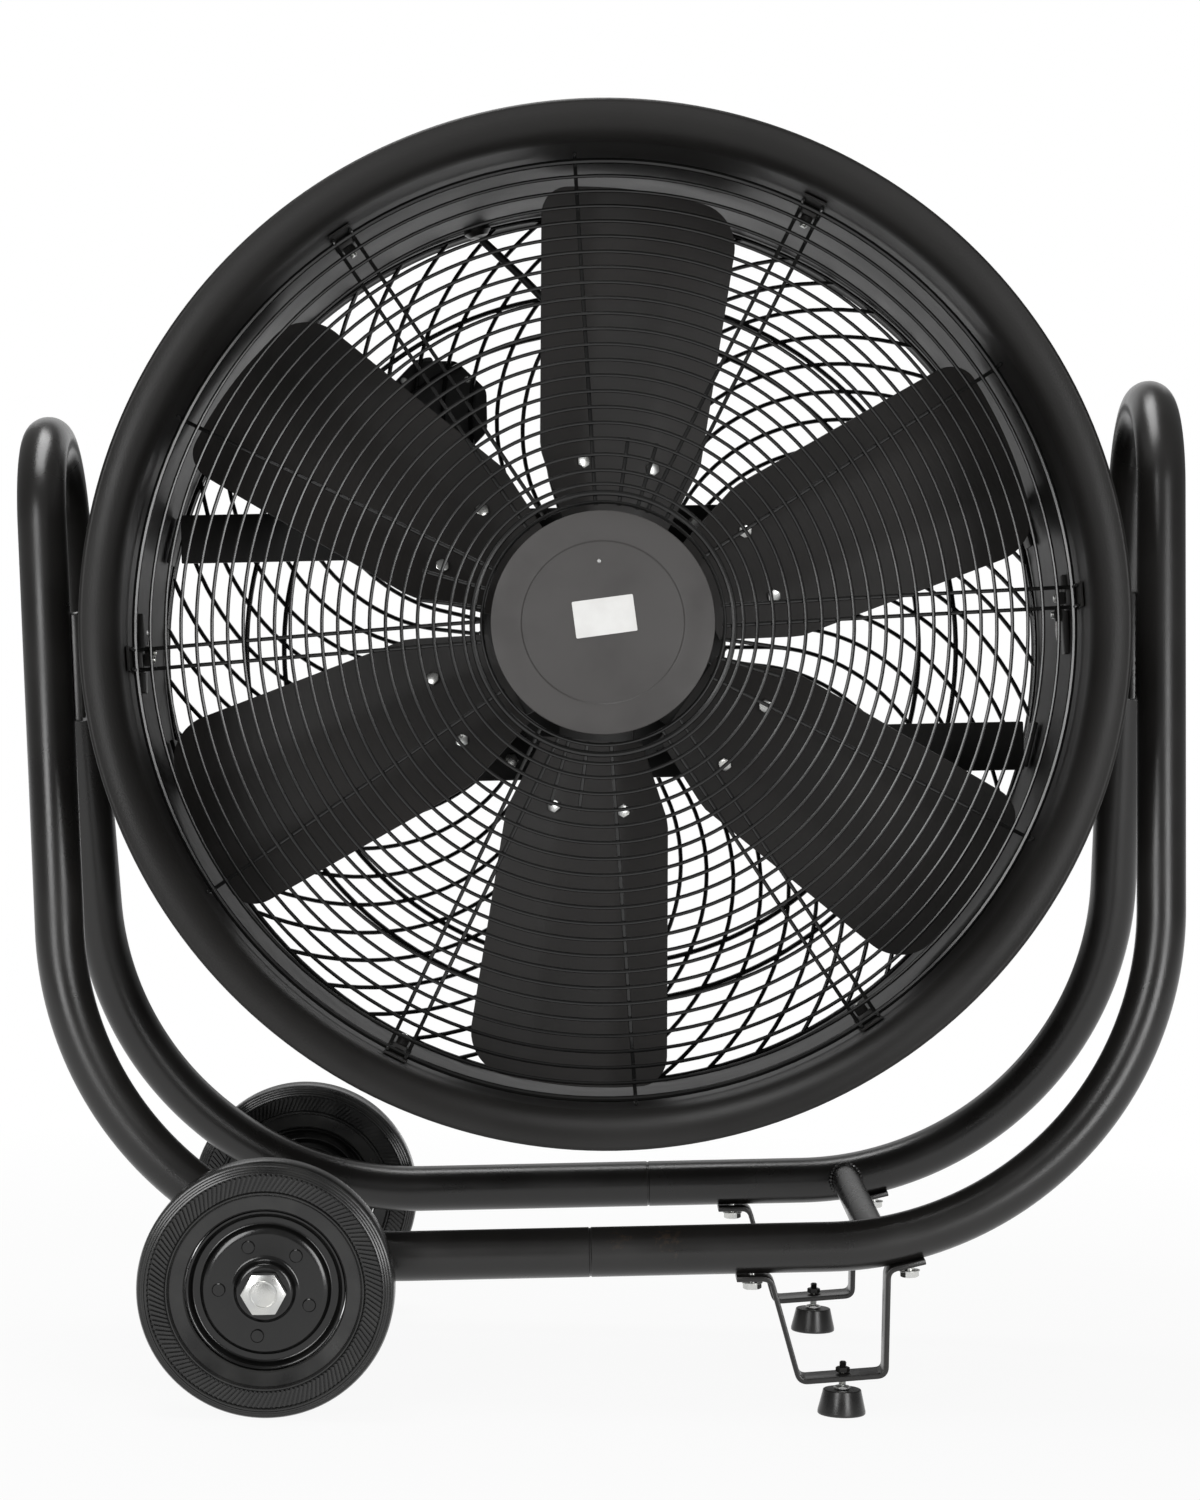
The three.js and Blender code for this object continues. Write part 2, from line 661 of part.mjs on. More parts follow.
/** Pivot stud with its head inside the drum and a collar up to the pivot plate. */
function makePivotStud(side) {
  const stud = join(
    barX(13, SHELL_R - 4.4, SHELL_R - 1.2, 14),
    barX(PIVOT_STUD_R, SHELL_R - 3, 462, 12),
    barX(PIVOT_COLLAR_R, SHELL_R + SHELL_WALL + 0.6, 428, 14),
  );
  if (side < 0) stud.rotateZ(Math.PI);
  return part(side < 0 ? "pivot_stud_left" : "pivot_stud_right", stud, zinc);
}

/** Lobed hand knob that clamps the tilt. */
function makeTiltKnob(side) {
  const points = [];
  const lobes = 6;
  for (let i = 0; i < lobes * 4; i++) {
    const a = (i / (lobes * 4)) * 2 * Math.PI;
    const r = TILT_KNOB_R - 3 + 3 * Math.cos(a * lobes);
    points.push(new THREE.Vector2(r * Math.cos(a), r * Math.sin(a)));
  }
  const grip = new THREE.ExtrudeGeometry(new THREE.Shape(points), { depth: 20, bevelEnabled: false });
  grip.rotateY(Math.PI / 2).translate(446, 0, 0);
  const knob = cut(join(grip, barX(15, 438.6, 447, 14)), barX(PIVOT_STUD_R + GAP, 430, 463, 12));
  if (side < 0) knob.rotateZ(Math.PI);
  return part(side < 0 ? "tilt_knob_left" : "tilt_knob_right", knob, plastic);
}

// ---- Motor --------------------------------------------------------------------------------------
/** Motor housing: a wide front half and a rear half that passes between the two bars. */
function makeMotorBody() {
  const bore = SHAFT_R + 1;
  const body = turned(
    [
      [0, MOTOR_FRONT_Y + 30],
      [bore, MOTOR_FRONT_Y + 30],
      [bore, MOTOR_FRONT_Y - 6],
      [26, MOTOR_FRONT_Y - 6],
      [30, MOTOR_FRONT_Y],
      [MOTOR_R - 8, MOTOR_FRONT_Y],
      [MOTOR_R, MOTOR_FRONT_Y + 8],
      [MOTOR_R, BAR_Y - GAP],
      [MOTOR_REAR_R, BAR_Y - GAP],
      [MOTOR_REAR_R, MOTOR_REAR_Y],
      [0, MOTOR_REAR_Y],
    ],
    24,
  );
  return part("motor_body", body, blackPaint);
}

/** Domed cap on the motor's rear end. */
function makeMotorCap() {
  const cap = turned(
    [
      [0, MOTOR_REAR_Y + GAP],
      [MOTOR_REAR_R, MOTOR_REAR_Y + GAP],
      [MOTOR_REAR_R - 2, MOTOR_REAR_Y + 8],
      [MOTOR_REAR_R - 14, MOTOR_REAR_Y + 14],
      [0, MOTOR_REAR_Y + 16],
    ],
    24,
  );
  return part("motor_cap", cap, blackPaint);
}

/** Flat bar across the drum that carries the motor, with a bent tab at each end. */
function makeMotorBar(name, level) {
  const inner = SHELL_R - 1.4;
  const reach = Math.sqrt(inner ** 2 - (BAR_Z + BAR_HEIGHT / 2) ** 2) - 3;
  const bar = new THREE.BoxGeometry(2 * reach, 4, BAR_HEIGHT).translate(0, BAR_Y + 2, level * BAR_Z);
  const pieces = [bar];
  const slope = Math.asin(BAR_Z / inner);
  for (const side of [-1, 1]) {
    const tab = new THREE.BoxGeometry(4, 40, BAR_HEIGHT).translate(side * (inner - 2.8), BAR_Y + 20, 0);
    pieces.push(tab.rotateY(-side * level * slope));
    pieces.push(barY(6.5, BAR_Y - 5, BAR_Y + 1, 6).translate(side * 81, 0, level * (BAR_Z + 4)));
  }
  const ring = turned(
    [
      [inner, BAR_Y - 30],
      [inner + 40, BAR_Y - 30],
      [inner + 40, BAR_Y + 60],
      [inner, BAR_Y + 60],
    ],
    SHELL_SEGMENTS,
  );
  return part(name, cut(join(...pieces), ring), blackPaint);
}

/** Supply lead from the motor to the grommet in the drum's wall. */
function makeMotorLead() {
  const points = [
    [12, 126, 71.5],
    [13, 126, 84],
    [18, 132, 130],
    [20, 139, 190],
    [2, 145, 250],
    [-42, 148, 305],
    [-84, 148, 348],
    [-98.5, 148, 362],
  ];
  const route = new THREE.CatmullRomCurve3(points.map((p) => new THREE.Vector3(...p)));
  return part("motor_lead", tubeAlong(route, LEAD_R, 8, 24), rubber);
}

/** Grommet in the drum's wall for the lead. */
function makeLeadGrommet() {
  const bush = turned(
    [
      [0, SHELL_R - 9],
      [9, SHELL_R - 9],
      [12, SHELL_R - 5],
      [12, SHELL_R - 1.5],
      [8.4, SHELL_R - 1.5],
      [8.4, SHELL_R + 8],
      [0, SHELL_R + 8],
    ],
    12,
  ).rotateX(Math.PI / 2);
  return part("lead_grommet", bush.rotateY(BOX_TURN).translate(0, BOX.y, 0), rubber);
}

/** Octagonal capacitor box on the back of the rear guard. */
function makeCapacitorBox() {
  const box = new THREE.CylinderGeometry(46, 50, 26, 8).translate(0, REAR_GUARD_Y + REAR_GUARD_DOME + 17, 0);
  return part("capacitor_box", box.translate(-143, 0, 214), plastic);
}

// ---- Switch box ---------------------------------------------------------------------------------
/** Switch box, lid, speed knob and cord gland on top of the drum. */
function makeSwitchGroup() {
  const group = new THREE.Group();
  group.rotation.y = BOX_TURN;
  const base = SHELL_R + SHELL_WALL;
  const block = new THREE.BoxGeometry(BOX.length, BOX.depth, BOX.height);
  block.translate(0, BOX.y, base + BOX.height / 2 - 4);
  const top = base + BOX.height - 4;
  const inner = new THREE.BoxGeometry(BOX.length - 2 * BOX.wall, BOX.depth - 2 * BOX.wall, 30);
  const shellSpace = barY(base + 0.7, BOX.y - 60, BOX.y + 60, 96);
  const knobHole = barX(4.5, -60, -30, 10).translate(0, BOX.y, top - 20);
  const glandHole = barY(9, BOX.y + 20, BOX.y + 50, 10).translate(20, 0, top - 18);
  const leadHole = barZ(12, base - 20, base + 20, 12).translate(0, BOX.y, 0);
  const tools = [shellSpace, inner.translate(0, BOX.y, top - 12), knobHole, glandHole, leadHole];
  group.add(part("switch_box", cut(block, ...tools), plastic));
  const lid = join(
    new THREE.BoxGeometry(BOX.length + 2, BOX.depth + 2, 3).translate(0, BOX.y, top + GAP + 1.5),
    new THREE.BoxGeometry(BOX.length - 14, BOX.depth - 14, 2).translate(0, BOX.y, top + GAP + 3.6),
  );
  group.add(part("switch_box_lid", lid, plastic));
  const knob = join(
    barX(KNOB_R, -BOX.length / 2 - 17, -BOX.length / 2 - 2, 18),
    barX(3.6, -BOX.length / 2 - 4, -BOX.length / 2 + 10, 10),
    new THREE.BoxGeometry(4, 6, 2 * KNOB_R - 3).translate(-BOX.length / 2 - 18, 0, 0),
  );
  group.add(part("speed_knob", knob.translate(0, BOX.y, top - 20), plastic));
  const gland = join(
    barY(8.4, BOX.y + BOX.depth / 2 - 8, BOX.y + BOX.depth / 2 + 8, 10),
    barY(12.5, BOX.y + BOX.depth / 2 + 0.4, BOX.y + BOX.depth / 2 + 7, 6),
  );
  const hollow = cut(gland, barY(4.2, BOX.y, BOX.y + 60, 8));
  group.add(part("cord_gland", hollow.translate(20, 0, top - 18), plastic));
  return group;
}

// ---- Rotor --------------------------------------------------------------------------------------
/** Width of a blade's sheet at a distance from the shaft. */
function bladeWidth(r) {
  const { r: shoulder, width } = BLADE_SHOULDER;
  if (r < shoulder) return THREE.MathUtils.mapLinear(r, BLADE_ROOT_R, shoulder, BLADE_ROOT_WIDTH, width);
  return THREE.MathUtils.mapLinear(r, shoulder, BLADE_TIP_R, width, BLADE_TIP_WIDTH);
}

/** A bent sheet blade standing along +X, its pitch turned about the blade's own length. */
function bladeGeometry() {
  const g = new THREE.BoxGeometry(1, BLADE_THICKNESS, 2, 6, 1, 6);
  const p = g.getAttribute("position");
  const across = [-1, -0.82, -0.42, 0, 0.42, 0.82, 1];
  const along = [BLADE_ROOT_R, 120, BLADE_SHOULDER.r, 235, 330, 362, BLADE_TIP_R];
  for (let i = 0; i < p.count; i++) {
    const step = Math.round((p.getX(i) + 0.5) * 6);
    const column = Math.round((p.getZ(i) + 1) * 3);
    const u = across[column];
    const corner = step === 6 && Math.abs(u) > 0.9 ? 0.93 : 1;
    const z = (u * corner * bladeWidth(along[step])) / 2;
    const arc = BLADE_TIP_R - Math.sqrt(BLADE_TIP_R ** 2 - z ** 2);
    const drop = step === 6 ? arc + 8 * u ** 8 : 0;
    const bow = Math.abs(u) > 0.42 ? (0.42 - Math.abs(u)) * BLADE_CAMBER : 0;
    p.setXYZ(i, along[step] - drop, p.getY(i) + bow, z);
  }
  return g.rotateX(BLADE_PITCH);
}

/** Arm of the hub spider under one blade. */
function armGeometry() {
  const arm = new THREE.BoxGeometry(120, 3, 66).translate(105, BLADE_THICKNESS / 2 + GAP + 1.5, 0);
  return arm.rotateX(BLADE_PITCH);
}

const bladeTurn = (k) => -THREE.MathUtils.degToRad(BLADE_ANGLE + (360 / BLADE_COUNT) * k);

/** Hub spider: a boss, a disc and six pitched arms. */
function makeHubSpider() {
  const boss = barY(26, 2, 34, 18);
  const disc = barY(HUB_R - 10, 4, 10, 30);
  const arms = [];
  for (let k = 0; k < BLADE_COUNT; k++) arms.push(armGeometry().rotateY(bladeTurn(k)));
  const spider = cut(join(boss, disc, ...arms), barY(SHAFT_R + GAP, -40, 60, 14));
  return part("hub_spider", spider, blackPaint);
}

/** Motor shaft with its end nut. */
function makeMotorShaft() {
  const shaft = join(barY(SHAFT_R, -14, MOTOR_FRONT_Y + 20, 14), barY(14, -12, -1, 6));
  return part("motor_shaft", shaft, zinc);
}

// ---- Assembly -----------------------------------------------------------------------------------
function makeRotor() {
  const rotor = new THREE.Group();
  rotor.add(makeHubSpider(), makeMotorShaft());
  for (let k = 0; k < BLADE_COUNT; k++) {
    rotor.add(part("blade_" + (k + 1), bladeGeometry().rotateY(bladeTurn(k)), bladePaint));
  }
  return rotor;
}

function makeDrum() {
  const drum = new THREE.Group();
  drum.position.z = PIVOT_Z;
  drum.rotation.x = -TILT;
  drum.add(makeDrumShell(), makeFrontGuard(), makeRearGuard(), makeCentrePlate(), makeLabelPlate());
  for (let k = 0; k < CLIP_COUNT; k++) drum.add(makeGuardClip(k));
  drum.add(makeMotorBody(), makeMotorCap());
  drum.add(makeMotorBar("motor_bar_upper", 1), makeMotorBar("motor_bar_lower", -1));
  drum.add(makeMotorLead(), makeLeadGrommet(), makeCapacitorBox(), makeSwitchGroup());
  for (const side of [-1, 1]) drum.add(makePivotStud(side), makeTiltKnob(side));
  drum.add(makeRotor());
  return drum;
}

function makeStand() {
  const stand = new THREE.Group();
  stand.rotation.y = -FRAME_LEAN;
  stand.add(makeCradleLeft(), makeCradleRight(), makeCrossBar(), makePivotPlate(-1), makePivotPlate(1));
  stand.add(makeAxle(), makeAxleNut());
  for (const end of [-1, 1]) {
    stand.add(makeAxleBracket(end), makeFootBracket(end), makeFoot(end), makeWheel(end));
    FOOT_BOLTS.forEach((bolt, i) => {
      stand.add(makeFootBolt("foot_bolt_" + (end < 0 ? i + 1 : i + 3), end, bolt));
    });
  }
  stand.add(makeDrum());
  return stand;
}

/** The whole fan, moved so that its box stands centred on the origin. */
function makeFan() {
  const stand = makeStand();
  const fan = new THREE.Group();
  fan.add(stand);
  fan.updateMatrixWorld(true);
  const box = new THREE.Box3().setFromObject(fan, true);
  stand.position.x = -(box.min.x + box.max.x) / 2;
  stand.position.y = -(box.min.y + box.max.y) / 2;
  stand.position.z = -box.min.z;
  return fan;
}

export default makeFan();
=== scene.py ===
"""Drum fan in a wheeled tubular cradle, dressed over its CAD frame.

Each sub-assembly is a class. Sizes are in millimetres in the stand's or the drum's own frame, and
each finished mesh is placed in the row frame, in metres.
"""

from __future__ import annotations

import json
import logging
import math
from dataclasses import dataclass, field
from enum import Enum
from typing import Callable, Sequence

import bmesh
import bpy
from mathutils import Matrix, Vector

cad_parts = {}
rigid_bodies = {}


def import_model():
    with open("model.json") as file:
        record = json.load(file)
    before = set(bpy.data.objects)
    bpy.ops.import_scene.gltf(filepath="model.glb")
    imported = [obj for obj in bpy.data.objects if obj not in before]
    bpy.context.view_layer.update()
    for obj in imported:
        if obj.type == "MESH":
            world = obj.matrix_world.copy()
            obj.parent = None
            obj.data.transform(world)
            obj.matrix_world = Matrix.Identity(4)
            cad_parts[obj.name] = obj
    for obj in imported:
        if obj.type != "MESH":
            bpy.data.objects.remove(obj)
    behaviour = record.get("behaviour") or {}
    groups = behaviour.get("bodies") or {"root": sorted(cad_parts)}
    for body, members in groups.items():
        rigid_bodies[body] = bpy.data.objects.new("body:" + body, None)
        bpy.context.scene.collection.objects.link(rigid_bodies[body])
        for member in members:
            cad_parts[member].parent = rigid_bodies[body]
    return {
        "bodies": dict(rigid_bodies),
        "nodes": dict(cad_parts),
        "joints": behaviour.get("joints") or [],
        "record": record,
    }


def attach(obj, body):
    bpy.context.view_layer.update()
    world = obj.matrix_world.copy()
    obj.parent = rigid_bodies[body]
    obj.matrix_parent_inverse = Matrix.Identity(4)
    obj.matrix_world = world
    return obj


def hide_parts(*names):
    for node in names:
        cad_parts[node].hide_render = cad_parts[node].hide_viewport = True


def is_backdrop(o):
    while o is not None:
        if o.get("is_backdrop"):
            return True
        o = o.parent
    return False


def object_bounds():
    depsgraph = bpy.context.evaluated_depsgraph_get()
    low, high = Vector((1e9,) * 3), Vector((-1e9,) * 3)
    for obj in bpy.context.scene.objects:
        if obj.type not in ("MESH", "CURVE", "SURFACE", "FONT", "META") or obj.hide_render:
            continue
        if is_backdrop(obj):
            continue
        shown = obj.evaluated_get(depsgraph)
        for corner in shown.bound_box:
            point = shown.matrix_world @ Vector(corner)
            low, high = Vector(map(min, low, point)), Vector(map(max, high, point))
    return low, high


LOG = logging.getLogger("drum_fan")

MM = 0.001
PHOTO_SIZE = (1200, 1500)
SHARP_ANGLE = math.radians(28)
ON_AXIS = 1e-6
SIXTH_TURN = math.pi / 3
# Turns what is made along Y upright.
UPRIGHT = Matrix.Rotation(math.pi / 2, 4, "X")
# Sizes that more than one sub-assembly uses, in millimetres: the distance between the cradle's floor
# tubes, the drum's inside radius, and the switch box's y and turn round the drum, in radians.
TRACK = 360.0
DRUM_INSIDE = 388.0
BOX_Y = 148.0
BOX_TURN = -0.27

Outline = list[tuple[float, float]]
Socket = bpy.types.NodeSocket
Tree = bpy.types.NodeTree


class Body(Enum):
    """The moving bodies of the fan."""

    STAND = "stand"
    DRUM = "drum"
    ROTOR = "rotor"
    WHEEL_FRONT = "wheel_front"
    WHEEL_REAR = "wheel_rear"
    SPEED_KNOB = "speed_knob"
    TILT_KNOB_LEFT = "tilt_knob_left"
    TILT_KNOB_RIGHT = "tilt_knob_right"


class Slot(Enum):
    """The record's material slots."""

    CRADLE_PAINT = "cradle_paint"
    DRUM_PAINT = "drum_paint"
    WIRE_PAINT = "wire_paint"
    BLADE_PAINT = "blade_paint"
    GREY_PAINT = "grey_paint"
    MOTOR_PAINT = "motor_paint"
    ZINC = "zinc"
    TYRE = "tyre"
    RUBBER = "rubber"
    PLASTIC = "plastic"
    WHEEL_PLASTIC = "wheel_plastic"
    PAPER = "paper"


# ---- Shapes -------------------------------------------------------------------------------------


@dataclass
class Shape:
    """Points in millimetres and the faces between them, each with a finish number."""

    points: list[Vector] = field(default_factory=list)
    faces: list[tuple[int, ...]] = field(default_factory=list)
    finishes: list[int] = field(default_factory=list)

    def __add__(self, other: Shape) -> Shape:
        """Both shapes side by side in one.

        Args:
            other: the shape to add.

        Returns:
            The joined shape.
        """
        shift = len(self.points)
        faces = self.faces + [tuple(i + shift for i in f) for f in other.faces]
        return Shape(self.points + other.points, faces, self.finishes + other.finishes)

    def moved(self, x: float = 0.0, y: float = 0.0, z: float = 0.0) -> Shape:
        """The shape moved by x, y and z."""
        return self.placed(Matrix.Translation((x, y, z)))

    def turned(self, angle: float, axis: str) -> Shape:
        """The shape turned by angle about an axis through its origin."""
        return self.placed(Matrix.Rotation(angle, 4, axis))

    def placed(self, matrix: Matrix) -> Shape:
        """The shape moved and turned by a matrix, turned back to face out if the matrix mirrors it."""
        faces = self.faces if matrix.determinant() > 0 else [f[::-1] for f in self.faces]
        return Shape([matrix @ p for p in self.points], list(faces), list(self.finishes))

    def painted(self, finish: int) -> Shape:
        """The shape with every face given one finish number."""
        return Shape(self.points, self.faces, [finish] * len(self.faces))

    def chamfered(self, width: float, steps: int = 2, angle: float = 50.0) -> Shape:
        """The shape with its sharp edges rounded off.

        Args:
            width: how far the rounding reaches from an edge, in millimetres.
            steps: how many facets round each edge.
            angle: edges that turn more than this many degrees are rounded.

        Returns:
            The rounded shape.
        """
        mesh = self.as_bmesh()
        sharp = [e for e in mesh.edges if e.calc_face_angle(0.0) > math.radians(angle)]
        bmesh.ops.bevel(mesh, geom=sharp, offset=width, segments=steps, profile=0.5, affect="EDGES")
        return Shape.from_bmesh(mesh)

    def mended(self) -> Shape:
        """The shape in its first finish, with doubles merged and its faces turned outwards."""
        return Shape.from_bmesh(self.painted(0).as_bmesh())

    def as_bmesh(self) -> bmesh.types.BMesh:
        """The shape as a new bmesh with outward faces.

        Returns:
            The bmesh, which the caller frees.
        """
        mesh = bmesh.new()
        verts = [mesh.verts.new(p) for p in self.points]
        for corners, finish in zip(self.faces, self.finishes):
            try:
                face = mesh.faces.new([verts[i] for i in corners])
                face.material_index = finish
            except ValueError:
                continue
        bmesh.ops.remove_doubles(mesh, verts=mesh.verts, dist=1e-4)
        bmesh.ops.recalc_face_normals(mesh, faces=mesh.faces)
        return mesh

    @staticmethod
    def from_bmesh(mesh: bmesh.types.BMesh) -> Shape:
        """The shape that a bmesh holds; the bmesh is freed.

        Args:
            mesh: the bmesh to read and free.

        Returns:
            The shape.
        """
        mesh.verts.index_update()
        points = [v.co.copy() for v in mesh.verts]
        faces = [tuple(v.index for v in f.verts) for f in mesh.faces]
        finishes = [f.material_index for f in mesh.faces]
        mesh.free()
        return Shape(points, faces, finishes)

    @staticmethod
    def from_mesh(data: bpy.types.Mesh) -> Shape:
        """The shape that a Blender mesh in millimetres holds, in its first finish."""
        faces = [tuple(p.vertices) for p in data.polygons]
        return Shape([v.co.copy() for v in data.vertices], faces, [0] * len(faces))


def polar(radius: float, angle: float) -> tuple[float, float]:
    """The point at a radius and an angle in radians."""
    return radius * math.cos(angle), radius * math.sin(angle)


def oblong(x0: float, z0: float, x1: float, z1: float) -> Outline:
    """The corners of a rectangle from (x0, z0) to (x1, z1)."""
    return [(x0, z0), (x1, z0), (x1, z1), (x0, z1)]


def band(low: int, high: int, count: int) -> list[tuple[int, ...]]:
    """Four-sided faces between two rings of count points, whose first points are numbers low and high."""
    after = [(k + 1) % count for k in range(count)]
    return [(low + k, low + n, high + n, high + k) for k, n in enumerate(after)]


def arc(cx: float, cy: float, radius: float, start: float, end: float, steps: int) -> Outline:
    """Points on an arc about (cx, cy), from start to end degrees.

    Args:
        cx: the centre's first coordinate.
        cy: the centre's second coordinate.
        radius: the arc's radius.
        start: where it starts, in degrees.
        end: where it ends, in degrees.
        steps: how many segments it has.

    Returns:
        The points, first and last included.
    """
    out = []
    for i in range(steps + 1):
        x, y = polar(radius, math.radians(start + (end - start) * i / steps))
        out.append((cx + x, cy + y))
    return out


def softened(outline: Outline, radius: float, steps: int = 3, closed: bool = True) -> Outline:
    """An outline with its corners rounded.

    Args:
        outline: the corners in order.
        radius: how far the rounding reaches along each side, less on short sides.
        steps: how many segments round each corner.
        closed: whether the last corner joins the first.

    Returns:
        The rounded outline.
    """
    out: Outline = []
    count = len(outline)
    most = 0.45
    for i, corner in enumerate(outline):
        if not closed and i in (0, count - 1):
            out.append(corner)
            continue
        here = Vector(corner)
        before = Vector(outline[i - 1]) - here
        after = Vector(outline[(i + 1) % count]) - here
        reach = min(radius, before.length * most, after.length * most)
        start = here + before.normalized() * reach
        end = here + after.normalized() * reach
        for k in range(steps + 1):
            t = k / steps
            point = start * (1 - t) ** 2 + here * 2 * t * (1 - t) + end * t**2
            out.append((point.x, point.y))
    return out


def lathe(profile: Outline, segments: int = 96) -> Shape:
    """A closed profile turned about the Y axis.

    Args:
        profile: its (radius, y) points; radius 0 at both ends closes it on the axis.
        segments: points round the axis.

    Returns:
        The turned shape.
    """
    shape = Shape()
    rings: list[list[int]] = []
    for radius, y in profile:
        if radius < ON_AXIS:
            shape.points.append(Vector((0, y, 0)))
            rings.append([len(shape.points) - 1] * segments)
            continue
        start = len(shape.points)
        for k in range(segments):
            x, z = polar(radius, 2 * math.pi * k / segments)
            shape.points.append(Vector((x, y, z)))
        rings.append(list(range(start, start + segments)))
    on_axis = profile[0][0] < ON_AXIS
    pairs = list(zip(rings, rings[1:])) + ([] if on_axis else [(rings[-1], rings[0])])
    for low, high in pairs:
        for k in range(segments):
            n = (k + 1) % segments
            corners = list(dict.fromkeys((low[k], low[n], high[n], high[k])))
            if len(corners) > 2:
                shape.faces.append(tuple(corners))
    return shape.mended()


def swept(path: Sequence[Vector], radius: float | Callable[[int], float], sides: int = 24) -> Shape:
    """A round section carried along a path without twisting.

    Args:
        path: the centreline's points.
        radius: one radius, or a function from a point's number to its radius.
        sides: corners of the round section.

    Returns:
        The closed tube.
    """
    shape = Shape()
    count = len(path)
    tangents = [(path[min(i + 1, count - 1)] - path[max(i - 1, 0)]).normalized() for i in range(count)]
    normal = tangents[0].orthogonal().normalized()
    for i in range(count):
        if i:
            normal = (tangents[i - 1].rotation_difference(tangents[i]) @ normal).normalized()
        side = tangents[i].cross(normal)
        r = radius(i) if callable(radius) else radius
        for k in range(sides):
            a = 2 * math.pi * k / sides
            shape.points.append(path[i] + (normal * math.cos(a) + side * math.sin(a)) * r)
    for i in range(count - 1):
        shape.faces += band(i * sides, (i + 1) * sides, sides)
    shape.faces += [tuple(range(sides)), tuple(range((count - 1) * sides, count * sides))]
    return shape.mended()


def prism(outline: Outline, low: float, high: float) -> Shape:
    """An outline of (x, z) points extruded along Y.

    Args:
        outline: the outline's corners in order.
        low: where it starts along Y.
        high: where it ends along Y.

    Returns:
        The closed prism.
    """
    n = len(outline)
    points = [Vector((x, y, z)) for y in (low, high) for x, z in outline]
    return Shape(points, [tuple(range(n)), tuple(range(n, 2 * n)), *band(0, n, n)]).mended()


def block(x: float, y: float, z: float) -> Shape:
    """A box of that size about the origin."""
    return prism(oblong(-x / 2, -z / 2, x / 2, z / 2), -y / 2, y / 2)


def bar_y(radius: float, low: float, high: float, segments: int = 32, edge: float = 0.8) -> Shape:
    """A round bar along Y, from low to high, with its ends eased by edge."""
    first = [(0, low), (radius - edge, low), (radius, low + edge)]
    return lathe(first + [(radius, high - edge), (radius - edge, high), (0, high)], segments)


def sleeve(
    bore: float, outer: float, low: float, high: float, edge: float, segments: int = 48, steps: int = 2
) -> Shape:
    """A round collar along Y with eased rims.

    Args:
        bore: radius of its hole.
        outer: outside radius.
        low: where it starts.
        high: where it ends.
        edge: how far the rims are eased.
        segments: points round it.
        steps: segments across each eased rim.

    Returns:
        The collar.
    """
    return lathe(softened(oblong(bore, low, outer, high), edge, steps), segments)


def hexagon(across_flats: float, height: float, hole: float = 0.0, segments: int = 48) -> Shape:
    """A hexagon head or nut along Y from 0 to height, chamfered at both ends as a turned one is.

    Args:
        across_flats: spanner size.
        height: thickness of the head.
        hole: radius of the hole through it, or 0 for none.
        segments: points round it, a multiple of six.

    Returns:
        The head.
    """
    apothem = across_flats / 2
    face_radius = apothem * 0.94
    angles = [2 * math.pi * k / segments for k in range(segments)]
    shape = Shape()
    for ring in range(4):
        for a in angles:
            wall = apothem / math.cos((a % SIXTH_TURN) - SIXTH_TURN / 2)
            drop = (wall - face_radius) * 0.5
            levels = [(face_radius, 0.0), (wall, drop), (wall, height - drop), (face_radius, height)]
            radius, y = levels[ring]
            x, z = polar(radius, a)
            shape.points.append(Vector((x, y, z)))
    for ring in range(3):
        shape.faces += band(ring * segments, (ring + 1) * segments, segments)
    last, low, high = 3 * segments, 4 * segments, 5 * segments
    if hole:
        rim = [polar(hole, a) for a in angles]
        shape.points += [Vector((x, y, z)) for y in (0.0, height) for x, z in rim]
        shape.faces += band(0, low, segments) + band(last, high, segments) + band(low, high, segments)
    else:
        shape.faces += [tuple(range(segments)), tuple(range(last, low))]
    return shape.mended()


def threaded(radius: float, low: float, high: float, pitch: float = 1.5, segments: int = 24) -> Shape:
    """A threaded rod along Y, its thread drawn as rings.

    Args:
        radius: outside radius of the thread.
        low: where it starts along Y.
        high: where it ends along Y.
        pitch: distance from one ring to the next.
        segments: points round it.

    Returns:
        The rod.
    """
    end, root, lead_in = radius - 0.9, radius - 0.7, 0.4
    profile: Outline = [(0, low), (end, low)]
    y = low + lead_in
    while y + pitch < high:
        profile += [(radius, y + pitch * 0.25), (root, y + pitch * 0.75)]
        y += pitch
    return lathe(profile + [(end, high), (0, high)], segments)


def washer(inner: float, outer: float, thickness: float, segments: int = 40) -> Shape:
    """A flat washer along Y from 0 to thickness, with its outer edges eased.

    Args:
        inner: radius of its hole.
        outer: outside radius.
        thickness: its thickness.
        segments: points round it.

    Returns:
        The washer.
    """
    ease = 0.3
    under = [(inner, 0), (outer - ease, 0), (outer, ease)]
    over = [(outer, thickness - ease), (outer - ease, thickness), (inner, thickness)]
    return lathe(under + over, segments)


# ---- Finishes -----------------------------------------------------------------------------------


def linear(hex_colour: str) -> tuple[float, float, float, float]:
    """An sRGB hex colour as a linear RGBA value.

    Args:
        hex_colour: six hex digits.

    Returns:
        Red, green, blue and alpha.
    """
    out = []
    for i in (0, 2, 4):
        c = int(hex_colour[i : i + 2], 16) / 255
        out.append(c / 12.92 if c <= 0.04045 else ((c + 0.055) / 1.055) ** 2.4)
    return (out[0], out[1], out[2], 1.0)


